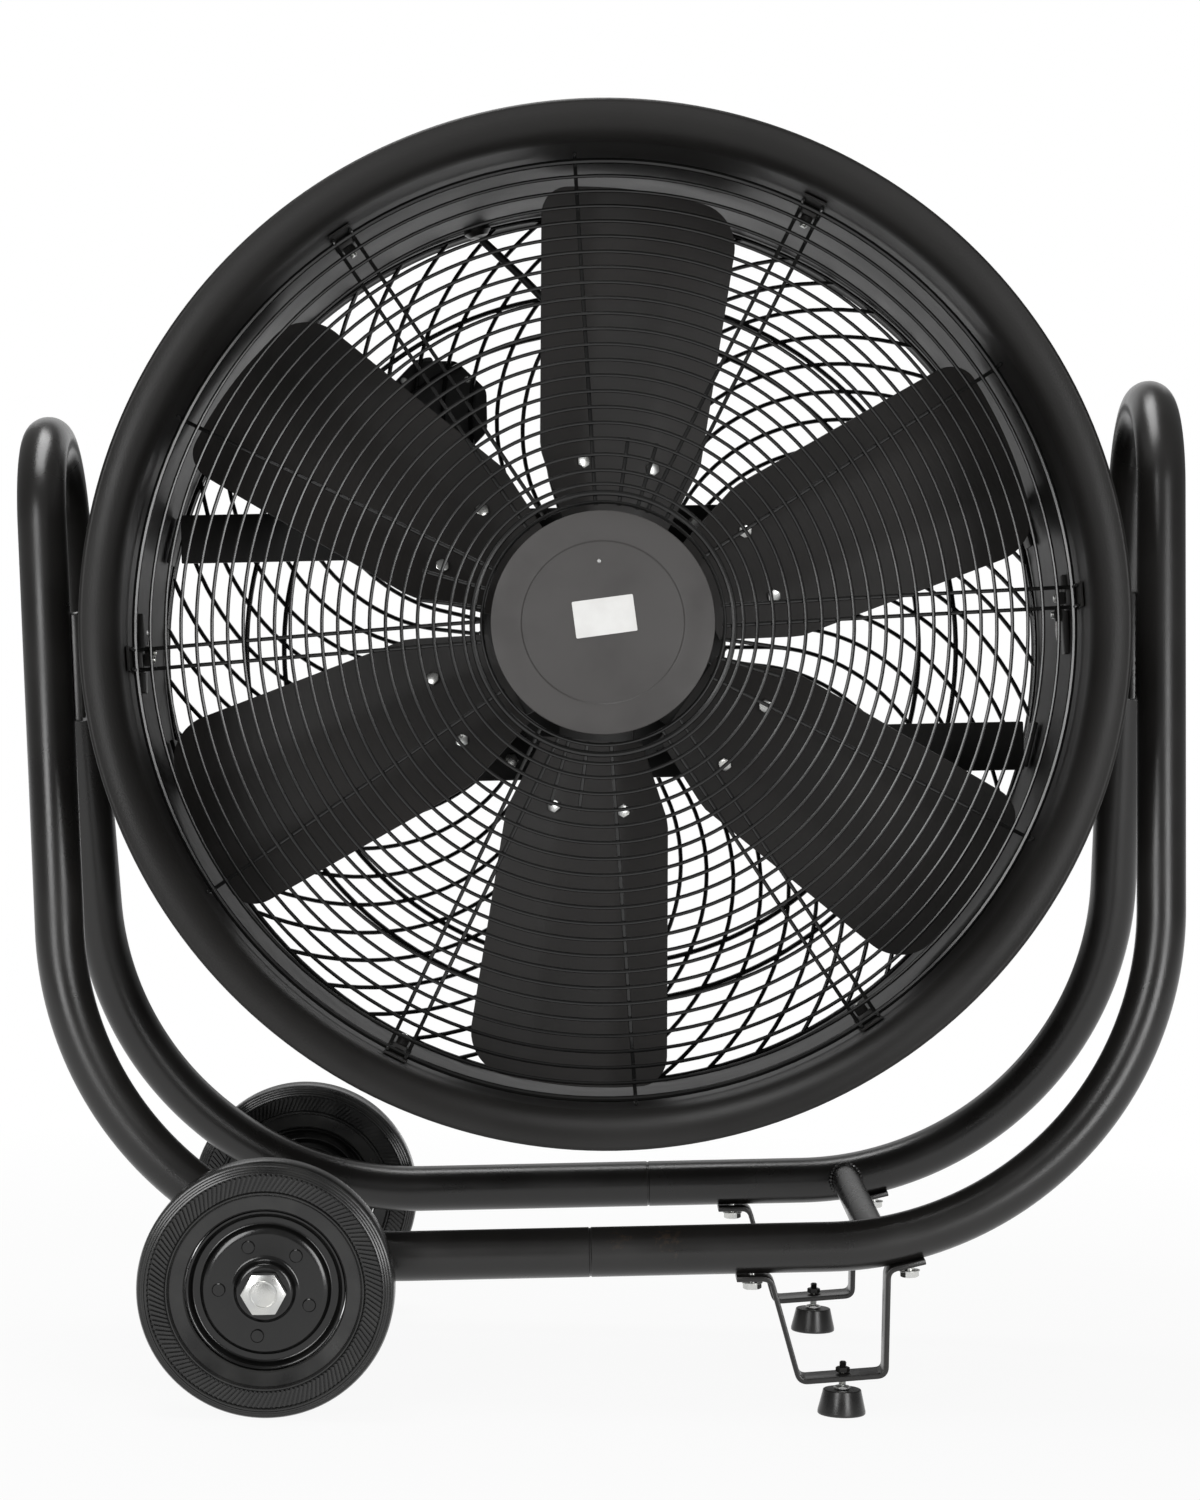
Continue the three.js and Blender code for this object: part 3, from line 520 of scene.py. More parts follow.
def add_node(tree: Tree, kind: str, links: dict | None = None, **settings: object) -> bpy.types.Node:
    """Adds a node.

    Args:
        tree: the tree it goes in.
        kind: the node's type name.
        links: input name or number to a value, or to the socket that feeds it.
        settings: the node's own properties.

    Returns:
        The new node.
    """
    node = tree.nodes.new(kind)
    for key, value in settings.items():
        setattr(node, key, value)
    for key, value in (links or {}).items():
        target = node.inputs[key]
        if isinstance(value, Socket):
            tree.links.new(value, target)
        else:
            target.default_value = value
    return node


# How softly one patch of colour passes into the next, in the noise's own units.
PATCH_BLUR = 0.16


@dataclass(frozen=True)
class Finish:
    """A painted, moulded or plated surface: a base colour with soft patches, fine grain and uneven gloss."""

    name: str
    base: str
    patch: str
    roughness: tuple[float, float]
    grain_mm: float
    grain_depth_mm: float
    patch_mm: float = 140.0
    patch_bias: float = 0.5
    metallic: float = 0.0
    coat: float = 0.0
    specular: float = 0.5
    stretch: tuple[float, float, float] = (1.0, 1.0, 1.0)
    worn: str = ""
    worn_at: tuple[tuple[float, float, float, float], ...] = ()

    def build(self) -> bpy.types.Material:
        """Builds the material's nodes.

        Returns:
            The material.
        """
        material = bpy.data.materials.new(self.name)
        material.use_nodes = True
        tree = material.node_tree
        shader = tree.nodes["Principled BSDF"]
        shader.inputs["Metallic"].default_value = self.metallic
        shader.inputs["Specular IOR Level"].default_value = self.specular
        shader.inputs["Coat Weight"].default_value = self.coat
        shader.inputs["Coat Roughness"].default_value = 0.25
        place = add_node(tree, "ShaderNodeTexCoord").outputs["Object"]
        stretched = add_node(tree, "ShaderNodeMapping", {"Vector": place, "Scale": self.stretch})
        vector = stretched.outputs["Vector"]
        wide = {"Vector": vector, "Scale": 1 / (self.patch_mm * MM), "Detail": 5.0}
        patches = add_node(tree, "ShaderNodeTexNoise", wide)
        low, high = self.patch_bias - PATCH_BLUR, self.patch_bias + PATCH_BLUR
        where = {"Value": patches.outputs["Fac"], "From Min": low, "From Max": high}
        amount = add_node(tree, "ShaderNodeMapRange", where)
        colours = {"Factor": amount.outputs["Result"], "A": linear(self.base), "B": linear(self.patch)}
        colour = self._mixed(tree, colours)
        gloss = {"Value": patches.outputs["Fac"], "From Min": 0.3, "From Max": 0.7}
        gloss |= {"To Min": self.roughness[0], "To Max": self.roughness[1]}
        roughness = add_node(tree, "ShaderNodeMapRange", gloss).outputs["Result"]
        if self.worn:
            colour = self._wear(tree, place, colour)
        tree.links.new(colour, shader.inputs["Base Color"])
        tree.links.new(roughness, shader.inputs["Roughness"])
        fine = {"Vector": vector, "Scale": 1 / (self.grain_mm * MM), "Detail": 3.0}
        grain = add_node(tree, "ShaderNodeTexNoise", fine)
        bump = {"Height": grain.outputs["Fac"], "Distance": self.grain_depth_mm * MM, "Strength": 1.0}
        tree.links.new(add_node(tree, "ShaderNodeBump", bump).outputs["Normal"], shader.inputs["Normal"])
        return material

    def _mixed(self, tree: Tree, links: dict) -> Socket:
        """The colour mixed from A to B by Factor.

        Args:
            tree: the tree it goes in.
            links: Factor, A and B, each a value or a socket.

        Returns:
            The mixed colour.
        """
        node = add_node(tree, "ShaderNodeMix", data_type="RGBA")
        for key, value in links.items():
            name = {"Factor": "Factor_Float", "A": "A_Color", "B": "B_Color"}[key]
            target = next(s for s in node.inputs if s.identifier == name)
            if isinstance(value, Socket):
                tree.links.new(value, target)
            else:
                target.default_value = value
        return next(s for s in node.outputs if s.identifier == "Result_Color")

    def _wear(self, tree: Tree, place: Socket, colour: Socket) -> Socket:
        """Rubbed spots where the paint has gone, each x, y, z in metres and a reach in millimetres.

        Args:
            tree: the tree it goes in.
            place: the object coordinates.
            colour: the colour of the sound paint.

        Returns:
            The colour with its rubbed spots.
        """
        fine = {"Vector": place, "Scale": 260.0, "Detail": 8.0, "Roughness": 0.7}
        flecks = add_node(tree, "ShaderNodeTexNoise", fine)
        total = None
        for x, y, z, reach in self.worn_at:
            gap = add_node(tree, "ShaderNodeVectorMath", {0: place, 1: (x, y, z)}, operation="DISTANCE")
            near = {"Value": gap.outputs["Value"], "From Min": reach * MM, "From Max": 0.0}
            spot = add_node(tree, "ShaderNodeMapRange", near).outputs["Result"]
            if total is not None:
                nearer = {0: total, 1: spot}
                spot = add_node(tree, "ShaderNodeMath", nearer, operation="MAXIMUM").outputs["Value"]
            total = spot
        raised = add_node(tree, "ShaderNodeMath", {0: total, 1: 0.3}, operation="MULTIPLY").outputs["Value"]
        both = {0: flecks.outputs["Fac"], 1: raised}
        level = add_node(tree, "ShaderNodeMath", both, operation="ADD").outputs["Value"]
        bare = {"Value": level, "From Min": 0.74, "From Max": 0.80}
        mask = add_node(tree, "ShaderNodeMapRange", bare).outputs["Result"]
        return self._mixed(tree, {"Factor": mask, "A": colour, "B": linear(self.worn)})


# Powder coat: baked epoxy powder with the soft dimples of orange peel, satin on the tubes and wires and
# duller on the drum and blades.
CRADLE_COAT = Finish(
    "powder_coated_tube", "161514", "1d1c1b", (0.24, 0.36), 1.5, 0.09,
    patch_mm=90, worn="2b241e", worn_at=((0.03, -0.203, 0.141, 26.0), (0.072, -0.2, 0.143, 34.0)),
)
DRUM_COAT = Finish(
    "powder_coated_drum", "161514", "1d1c1b", (0.38, 0.52), 1.8, 0.12, patch_mm=160, specular=0.28
)
WIRE_COAT = Finish("powder_coated_wire", "101010", "171716", (0.16, 0.26), 1.2, 0.02, patch_mm=60)
BLADE_COAT = Finish(
    "coated_blade_sheet", "21201f", "2a2827", (0.40, 0.56), 1.4, 0.08, patch_mm=110, specular=0.25
)
# Sprayed enamel over cast metal: dull black, faintly pitted.
MOTOR_COAT = Finish(
    "painted_motor_casting", "121211", "181716", (0.42, 0.6), 1.2, 0.08, patch_mm=80, specular=0.3
)
# Grey enamel on pressed sheet: matte, with handling smudges.
PLATE_ENAMEL = Finish(
    "grey_enamel_sheet", "3b3938", "343231", (0.5, 0.62), 0.9, 0.02, patch_mm=45, patch_bias=0.62
)
# Zinc plating: bright, a little uneven, brushed by the rolling of the steel.
ZINC_PLATE = Finish(
    "zinc_plated_steel", "d2d2ce", "c2c3c2", (0.22, 0.34), 0.8, 0.008, patch_mm=14, metallic=1.0
)
# Vulcanised rubber: near black, waxy, slightly dusty.
TYRE_RUBBER = Finish("vulcanised_tyre_rubber", "1c1c1c", "282827", (0.16, 0.28), 0.8, 0.02, patch_mm=30)
FOOT_RUBBER = Finish("moulded_foot_rubber", "171717", "201f1e", (0.24, 0.36), 0.7, 0.03, patch_mm=18)
LEAD_RUBBER = Finish("rubber_cable_sheath", "141414", "1b1b1b", (0.5, 0.62), 0.6, 0.02, patch_mm=20)
# Moulded polypropylene: smooth, glossy from the tool's polish.
WHEEL_PLASTIC = Finish("moulded_polypropylene", "0b0b0b", "121211", (0.14, 0.26), 1.0, 0.02, patch_mm=24)
# Moulded ABS: fine spark-eroded texture.
BOX_PLASTIC = Finish("textured_abs", "181818", "202020", (0.42, 0.55), 0.5, 0.03, patch_mm=40)
# Polyester film with a white face: even, matt and nearly white.
LABEL_FILM = Finish("white_label_film", "dddddb", "d4d3d1", (0.45, 0.6), 1.5, 0.01, patch_mm=20)


# ---- Pieces -------------------------------------------------------------------------------------


@dataclass
class Workshop:
    """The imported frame, the places of the stand and the drum, and the finishes built so far."""

    frame: dict
    lean: float = 0.0476
    tilt: float = 0.0676
    pivot_height: float = 619.6
    built: dict[str, bpy.types.Material] = field(default_factory=dict)

    def pivot(self) -> Vector:
        """The drum's pivot centre in the row frame, in metres."""
        return Vector(self._joint("drum_tilt")["pos_m"])

    def _joint(self, name: str) -> dict:
        """The joint of that name."""
        return next(j for j in self.frame["joints"] if j["name"] == name)

    def stand(self) -> Matrix:
        """Stand frame in millimetres to the row frame."""
        at_pivot = Matrix.Translation(self.pivot()) @ Matrix.Rotation(-self.lean, 4, "Y")
        return at_pivot @ Matrix.Scale(MM, 4) @ Matrix.Translation((0, 0, -self.pivot_height))

    def drum(self) -> Matrix:
        """Drum frame in millimetres to the row frame."""
        at_pivot = Matrix.Translation(self.pivot()) @ Matrix.Rotation(-self.lean, 4, "Y")
        return at_pivot @ Matrix.Rotation(-self.tilt, 4, "X") @ Matrix.Scale(MM, 4)

    def level(self, x: float, y: float) -> Matrix:
        """An upright frame on the floor under the stand's point (x, y), in millimetres to the row frame."""
        foot = self.stand() @ Vector((x, y, -x * math.tan(self.lean)))
        return Matrix.Translation((foot.x, foot.y, 0)) @ Matrix.Scale(MM, 4)

    def material(self, finish: Finish) -> bpy.types.Material:
        """The material of a finish, built once.

        Args:
            finish: the finish.

        Returns:
            The material.
        """
        if finish.name not in self.built:
            self.built[finish.name] = finish.build()
        return self.built[finish.name]

    def piece(
        self,
        name: str,
        shape: Shape,
        place: Matrix,
        finishes: Sequence[Finish],
        body: Body,
        slot: Slot,
        *nodes: str,
    ) -> None:
        """Makes a finished object and gives it to its body.

        Args:
            name: the piece's name.
            shape: its shape, in the frame that place maps from.
            place: from the shape's millimetres to the row frame.
            finishes: one finish for each finish number in the shape.
            body: the moving body it rides on.
            slot: the record's slot for its finish; not used.
            nodes: the CAD nodes it stands for.
        """
        mesh = shape.placed(place).as_bmesh()
        for face in mesh.faces:
            face.smooth = True
        for edge in mesh.edges:
            edge.smooth = edge.calc_face_angle(0.0) < SHARP_ANGLE
        data = bpy.data.meshes.new(name)
        mesh.to_mesh(data)
        mesh.free()
        for finish in finishes:
            data.materials.append(self.material(finish))
        piece = bpy.data.objects.new(name, data)
        bpy.context.scene.collection.objects.link(piece)
        if nodes:
            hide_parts(*nodes)
        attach(piece, body.value)
        LOG.info("%s: %d faces on %s", name, len(data.polygons), body.value)


# ---- Geometry Nodes -----------------------------------------------------------------------------


class NodeRecipe:
    """A Geometry Nodes tree with named inputs, run once on a carrier and returned as a shape."""

    def __init__(self, name: str, inputs: dict[str, str]) -> None:
        """Starts an empty tree with a geometry socket and the named inputs, each name to its kind.

        Args:
            name: the tree's name.
            inputs: each input's name and kind of socket.
        """
        self.tree = bpy.data.node_groups.new(name, "GeometryNodeTree")
        face = self.tree.interface
        face.new_socket("Geometry", in_out="INPUT", socket_type="NodeSocketGeometry")
        face.new_socket("Geometry", in_out="OUTPUT", socket_type="NodeSocketGeometry")
        self.ids: dict[str, str] = {}
        for key, kind in inputs.items():
            self.ids[key] = face.new_socket(key, in_out="INPUT", socket_type="NodeSocket" + kind).identifier
        self.given = add_node(self.tree, "NodeGroupInput")
        self.result = add_node(self.tree, "NodeGroupOutput")

    def add(self, kind: str, links: dict | None = None, **settings: object) -> bpy.types.Node:
        """Adds a node to the tree."""
        return add_node(self.tree, kind, links, **settings)

    def math(self, operation: str, a: object, b: object = 0.0) -> Socket:
        """One number worked out from one or two others."""
        return self.add("ShaderNodeMath", {0: a, 1: b}, operation=operation).outputs["Value"]

    def close(self, geometry: Socket) -> None:
        """Ends the tree with Realize Instances and Set Material.

        Args:
            geometry: what the tree has made so far.
        """
        real = self.add("GeometryNodeRealizeInstances", {"Geometry": geometry})
        painted = {"Geometry": real.outputs["Geometry"], "Material": self.given.outputs["Finish"]}
        done = self.add("GeometryNodeSetMaterial", painted)
        self.tree.links.new(done.outputs["Geometry"], self.result.inputs["Geometry"])

    def run(self, carrier: Shape | None = None, **values: object) -> Shape:
        """Runs the tree.

        Args:
            carrier: the shape that the tree gets, or None for a tree that makes its own.
            values: the named inputs.

        Returns:
            What the tree makes.
        """
        data = bpy.data.meshes.new("carrier")
        if carrier:
            data.from_pydata([tuple(p) for p in carrier.points], [], carrier.faces)
        holder = bpy.data.objects.new("carrier", data)
        bpy.context.scene.collection.objects.link(holder)
        modifier = holder.modifiers.new("recipe", "NODES")
        modifier.node_group = self.tree
        for key, value in values.items():
            modifier[self.ids[key]] = value
        bpy.context.view_layer.update()
        depsgraph = bpy.context.evaluated_depsgraph_get()
        made = bpy.data.meshes.new_from_object(holder.evaluated_get(depsgraph))
        shape = Shape.from_mesh(made)
        holder.modifiers.remove(modifier)
        bpy.data.objects.remove(holder)
        bpy.data.meshes.remove(made)
        bpy.data.meshes.remove(data)
        return shape


class TurnedCopies(NodeRecipe):
    """Copies of the carrier at even turns about the Y axis, such as bolts, ribs and fins."""

    def __init__(self) -> None:
        """Builds the tree."""
        super().__init__(
            "turned_copies", {"Count": "Int", "First": "Float", "Step": "Float", "Finish": "Material"}
        )
        spots = self.add("GeometryNodeMeshLine", {"Count": self.given.outputs["Count"], "Offset": (0, 0, 0)})
        number = self.add("GeometryNodeInputIndex").outputs["Index"]
        further = self.math("MULTIPLY", number, self.given.outputs["Step"])
        turn = self.math("ADD", self.given.outputs["First"], further)
        about = self.add("ShaderNodeCombineXYZ", {"Y": self.math("MULTIPLY", turn, -1.0)}).outputs["Vector"]
        placed = {
            "Points": spots.outputs["Mesh"], "Instance": self.given.outputs["Geometry"], "Rotation": about
        }
        copies = self.add("GeometryNodeInstanceOnPoints", placed)
        self.close(copies.outputs["Instances"])


class DomedWires(NodeRecipe):
    """Base for guard wires that lie on a dome: y = Centre + (Edge - Centre) * (r / Rim) ^ Power."""

    DOME = {
        "Centre": "Float", "Edge": "Float", "Rim": "Float", "Power": "Float", "Wire": "Float",
        "Finish": "Material"
    }

    def depth(self, radius: Socket) -> Socket:
        """The y of the dome at a radius.

        Args:
            radius: distance from the axis.

        Returns:
            The socket that holds the y.
        """
        out = self.given.outputs
        share = self.math("POWER", self.math("DIVIDE", radius, out["Rim"]), out["Power"])
        rise = self.math("SUBTRACT", out["Edge"], out["Centre"])
        return self.math("ADD", out["Centre"], self.math("MULTIPLY", share, rise))

    def round_wire(self, curve: Socket) -> Socket:
        """The curve as a round wire.

        Args:
            curve: the wire's centreline.

        Returns:
            The wire's mesh.
        """
        section = self.add(
            "GeometryNodeCurvePrimitiveCircle", {"Resolution": 8, "Radius": self.given.outputs["Wire"]}
        )
        wire = {"Curve": curve, "Profile Curve": section.outputs["Curve"], "Fill Caps": True}
        return self.add("GeometryNodeCurveToMesh", wire).outputs["Mesh"]


class RingWires(DomedWires):
    """Concentric wires on the dome."""

    def __init__(self) -> None:
        """Builds the tree."""
        super().__init__(
            "ring_wires", {"Count": "Int", "First": "Float", "Pitch": "Float", "Segments": "Int"} | self.DOME
        )
        out = self.given.outputs
        number = self.add("GeometryNodeInputIndex").outputs["Index"]
        radius = self.math("ADD", out["First"], self.math("MULTIPLY", number, out["Pitch"]))
        spots = self.add("GeometryNodeMeshLine", {"Count": out["Count"], "Offset": (0, 0, 0)})
        place = self.add("ShaderNodeCombineXYZ", {"Y": self.depth(radius)}).outputs["Vector"]
        spread = self.add("GeometryNodeSetPosition", {"Geometry": spots.outputs["Mesh"], "Position": place})
        circle = self.add("GeometryNodeCurvePrimitiveCircle", {"Resolution": out["Segments"], "Radius": 1.0})
        size = self.add("ShaderNodeCombineXYZ", {"X": radius, "Y": radius, "Z": 1.0}).outputs["Vector"]
        placed = {"Points": spread.outputs["Geometry"], "Instance": circle.outputs["Curve"], "Scale": size}
        copies = self.add("GeometryNodeInstanceOnPoints", placed | {"Rotation": (math.pi / 2, 0, 0)})
        real = self.add("GeometryNodeRealizeInstances", {"Geometry": copies.outputs["Instances"]})
        self.close(self.round_wire(real.outputs["Geometry"]))


class SpokeWires(DomedWires):
    """Spokes on the dome, straight or swirling, each moved aside by Aside at right angles to its length."""

    def __init__(self) -> None:
        """Builds the tree."""
        own = {"Count": "Int", "First": "Float", "Step": "Float", "Inner": "Float", "Outer": "Float"}
        own |= {"Points": "Int", "Aside": "Float"}
        own |= {"Swirl": "Float", "Swirl From": "Float", "Swirl Power": "Float"}
        super().__init__("spoke_wires", own | self.DOME)
        out = self.given.outputs
        number = self.add("GeometryNodeInputIndex").outputs["Index"]
        share = self.math("DIVIDE", number, self.math("SUBTRACT", out["Points"], 1.0))
        length = self.math("SUBTRACT", out["Outer"], out["Inner"])
        radius = self.math("ADD", out["Inner"], self.math("MULTIPLY", share, length))
        past = self.math("MAXIMUM", self.math("SUBTRACT", radius, out["Swirl From"]), 0.0)
        span = self.math("SUBTRACT", out["Rim"], out["Swirl From"])
        bend = self.math("POWER", self.math("DIVIDE", past, span), out["Swirl Power"])
        twist = self.math("MULTIPLY", bend, out["Swirl"])
        x = self.math("MULTIPLY", radius, self.math("COSINE", twist))
        z = self.math("ADD", self.math("MULTIPLY", radius, self.math("SINE", twist)), out["Aside"])
        line = self.add("GeometryNodeMeshLine", {"Count": out["Points"], "Offset": (0, 0, 1)})
        place = self.add("ShaderNodeCombineXYZ", {"X": x, "Y": self.depth(radius), "Z": z}).outputs["Vector"]
        bent = self.add("GeometryNodeSetPosition", {"Geometry": line.outputs["Mesh"], "Position": place})
        curve = self.add("GeometryNodeMeshToCurve", {"Mesh": bent.outputs["Geometry"]}).outputs["Curve"]
        spots = self.add("GeometryNodeMeshLine", {"Count": out["Count"], "Offset": (0, 0, 0)})
        turn = self.math("ADD", out["First"], self.math("MULTIPLY", number, out["Step"]))
        about = self.add("ShaderNodeCombineXYZ", {"Y": self.math("MULTIPLY", turn, -1.0)}).outputs["Vector"]
        wire = self.round_wire(curve)
        placed = {"Points": spots.outputs["Mesh"], "Instance": wire, "Rotation": about}
        copies = self.add("GeometryNodeInstanceOnPoints", placed)
        self.close(copies.outputs["Instances"])


# ---- Cradle -------------------------------------------------------------------------------------


@dataclass
class Cradle:
    """Two bent tubes, butt-welded under the drum, with a cross bar and the pivot plates."""

    shop: Workshop
    tube: float = 20.0
    tube_height: float = 127.0
    straight_half: float = 170.0
    bend: float = 278.0
    loop: float = 85.0
    splay: float = 0.038
    rakes: tuple[float, float] = (0.1599, 0.1568)
    seams: tuple[float, float] = (-23.0, 32.0)
    plate_x: float = 432.8
    plate_z: float = 605.0
    cross_bar: float = 12.5
    cross_bar_x: float = 208.0
    cross_bar_height: float = 129.6
    cross_bar_short: float = 14.0

    def _arc(
        self, centre: Vector, first: Vector, second: Vector, radius: float, a0: float, a1: float
    ) -> list[Vector]:
        """Points on an arc in space, about 7 mm apart.

        Args:
            centre: the arc's centre.
            first: the direction at angle 0.
            second: the direction a quarter turn on.
            radius: the arc's radius.
            a0: where it starts, in radians.
            a1: where it ends, in radians.

        Returns:
            The points, first and last included.
        """
        steps = max(6, int(abs(a1 - a0) * radius / 7))
        out = []
        for i in range(steps + 1):
            along, across = polar(radius, a0 + (a1 - a0) * i / steps)
            out.append(centre + first * along + second * across)
        return out

    def centreline(self, side: int) -> list[Vector]:
        """The centreline of one half, from its front seam round to its rear seam.

        Args:
            side: -1 for the left, 1 for the right.

        Returns:
            The points in the stand frame.
        """
        out = Vector((side, 0, 0))
        rake = self.rakes[side > 0]
        halves = []
        for end, seam in zip((-1, 1), self.seams):
            up = Vector((0, -end * math.sin(rake), math.cos(rake)))
            start = Vector((side * self.straight_half, end * TRACK / 2, self.tube_height))
            edge = Vector((seam + side * 0.175, start.y, start.z))
            straight = [edge, edge.lerp(start, 0.006), edge.lerp(start, 0.02), edge.lerp(start, 0.5)]
            centre = start + up * self.bend
            curve = self._arc(centre, out, -up, self.bend, math.pi / 2, self.splay)
            halves.append((straight, curve, out * math.sin(self.splay) + up * math.cos(self.splay)))
        front_line, front_curve, climb = halves[0]
        rear_line, rear_curve, _ = halves[1]
        tuck = math.asin(math.cos(self.splay) * math.sin(rake))
        top = front_curve[-1]
        leg = (-self.loop * math.cos(tuck) - top.y) / climb.y
        leg_end = top + climb * leg
        upwards = Vector((climb.x, 0, climb.z)).normalized()
        centre = Vector((leg_end.x, 0, leg_end.z)) - upwards * (self.loop * math.sin(tuck))
        over = self._arc(centre, Vector((0, -1, 0)), upwards, self.loop, tuck, math.pi - tuck)
        leg_front = [top.lerp(leg_end, t) for t in (0.25, 0.5, 0.75)]
        leg_rear = [Vector((p.x, -p.y, p.z)) for p in reversed(leg_front)]
        return front_line + front_curve + leg_front + over + leg_rear + rear_curve[::-1] + rear_line[::-1]

    def _tube(self, side: int) -> Shape:
        """One half of the cradle, its butt ends eased so that the seam shows; the weld is in the left half.

        Args:
            side: -1 for the left, 1 for the right.

        Returns:
            The tube in the stand frame.
        """
        path = self.centreline(side)
        last = len(path) - 1
        half = swept(path, lambda i: self.tube - (0.9 if i in (0, last) else 0.0), 40)
        if side < 0:
            for end, seam in zip((-1, 1), self.seams):
                fill = [Vector((seam + d, end * TRACK / 2, self.tube_height)) for d in (-5, 5)]
                half = half + swept(fill, self.tube - 0.7, 40)
        return half

    def _weld(self, centre: Vector, axis: str, radius: float, saddle: float) -> Shape:
        """A fillet of weld round a bar where it meets a tube, with the ripples of a hand weld.

        Args:
            centre: where the bar's axis enters the tube.
            axis: "-Y" or "+Y", the way from the bar into the tube.
            radius: the bar's radius.
            saddle: the tube's radius.

        Returns:
            The bead of weld.
        """
        path = []
        count = 96
        for k in range(count + 1):
            along, up = polar(radius, 2 * math.pi * k / count)
            reach = saddle - math.sqrt(max(saddle**2 - up**2, 0.0))
            path.append(centre + Vector((along, -reach if axis == "-Y" else reach, up)))
        return swept(path, lambda i: 2.4 + 0.5 * math.sin(i * 1.9), 8)

    def _plate(self, side: int) -> Shape:
        """A pivot plate between the legs, with eased edges, a boss round its hole and weld at its ends.

        Args:
            side: -1 for the left, 1 for the right.

        Returns:
            The plate in the stand frame.
        """
        outline = softened([(-112, -45), (112, -45), (98, 45), (-98, 45)], 3)
        plate = prism(outline, -3, 3).chamfered(0.8)
        boss = lathe([(9, 2), (20, 2), (20, 4.2), (18.8, 5), (9, 5)], 40).moved(0, 0, 14.6)
        plate = plate + (boss if side > 0 else boss.turned(math.pi, "Z"))
        for end in (-1, 1):
            seam = [Vector((end * (103.5 - 0.157 * z), -3.4, z)) for z in range(-42, 43, 3)]
            plate = plate + swept(seam, lambda i: 2.2 + 0.4 * math.sin(i * 2.3), 8)
        upright = plate.turned(math.pi / 2, "Z").turned(side * self.splay, "Y")
        return upright.moved(side * self.plate_x, 0, self.plate_z)

    def build(self) -> None:
        """Builds the cradle's pieces."""
        place = self.shop.stand()
        paint = ([CRADLE_COAT], Body.STAND, Slot.CRADLE_PAINT)
        for side, name in ((-1, "left"), (1, "right")):
            self.shop.piece(f"bent_tube_{name}", self._tube(side), place, *paint, f"cradle_{name}")
            plate = self._plate(side)
            self.shop.piece(f"trunnion_plate_{name}", plate, place, *paint, f"pivot_plate_{name}")
        reach = TRACK / 2 - self.cross_bar_short
        bar = bar_y(self.cross_bar, -reach, reach, 32).moved(self.cross_bar_x, 0, self.cross_bar_height)
        for end in (-1, 1):
            centre = Vector((self.cross_bar_x, end * (TRACK / 2 - self.tube - 0.6), self.cross_bar_height))
            bar = bar + self._weld(centre, "-Y" if end < 0 else "+Y", self.cross_bar + 0.4, self.tube)
        self.shop.piece("cross_bar_welded", bar, place, *paint, "cross_bar")


# ---- Wheels -------------------------------------------------------------------------------------


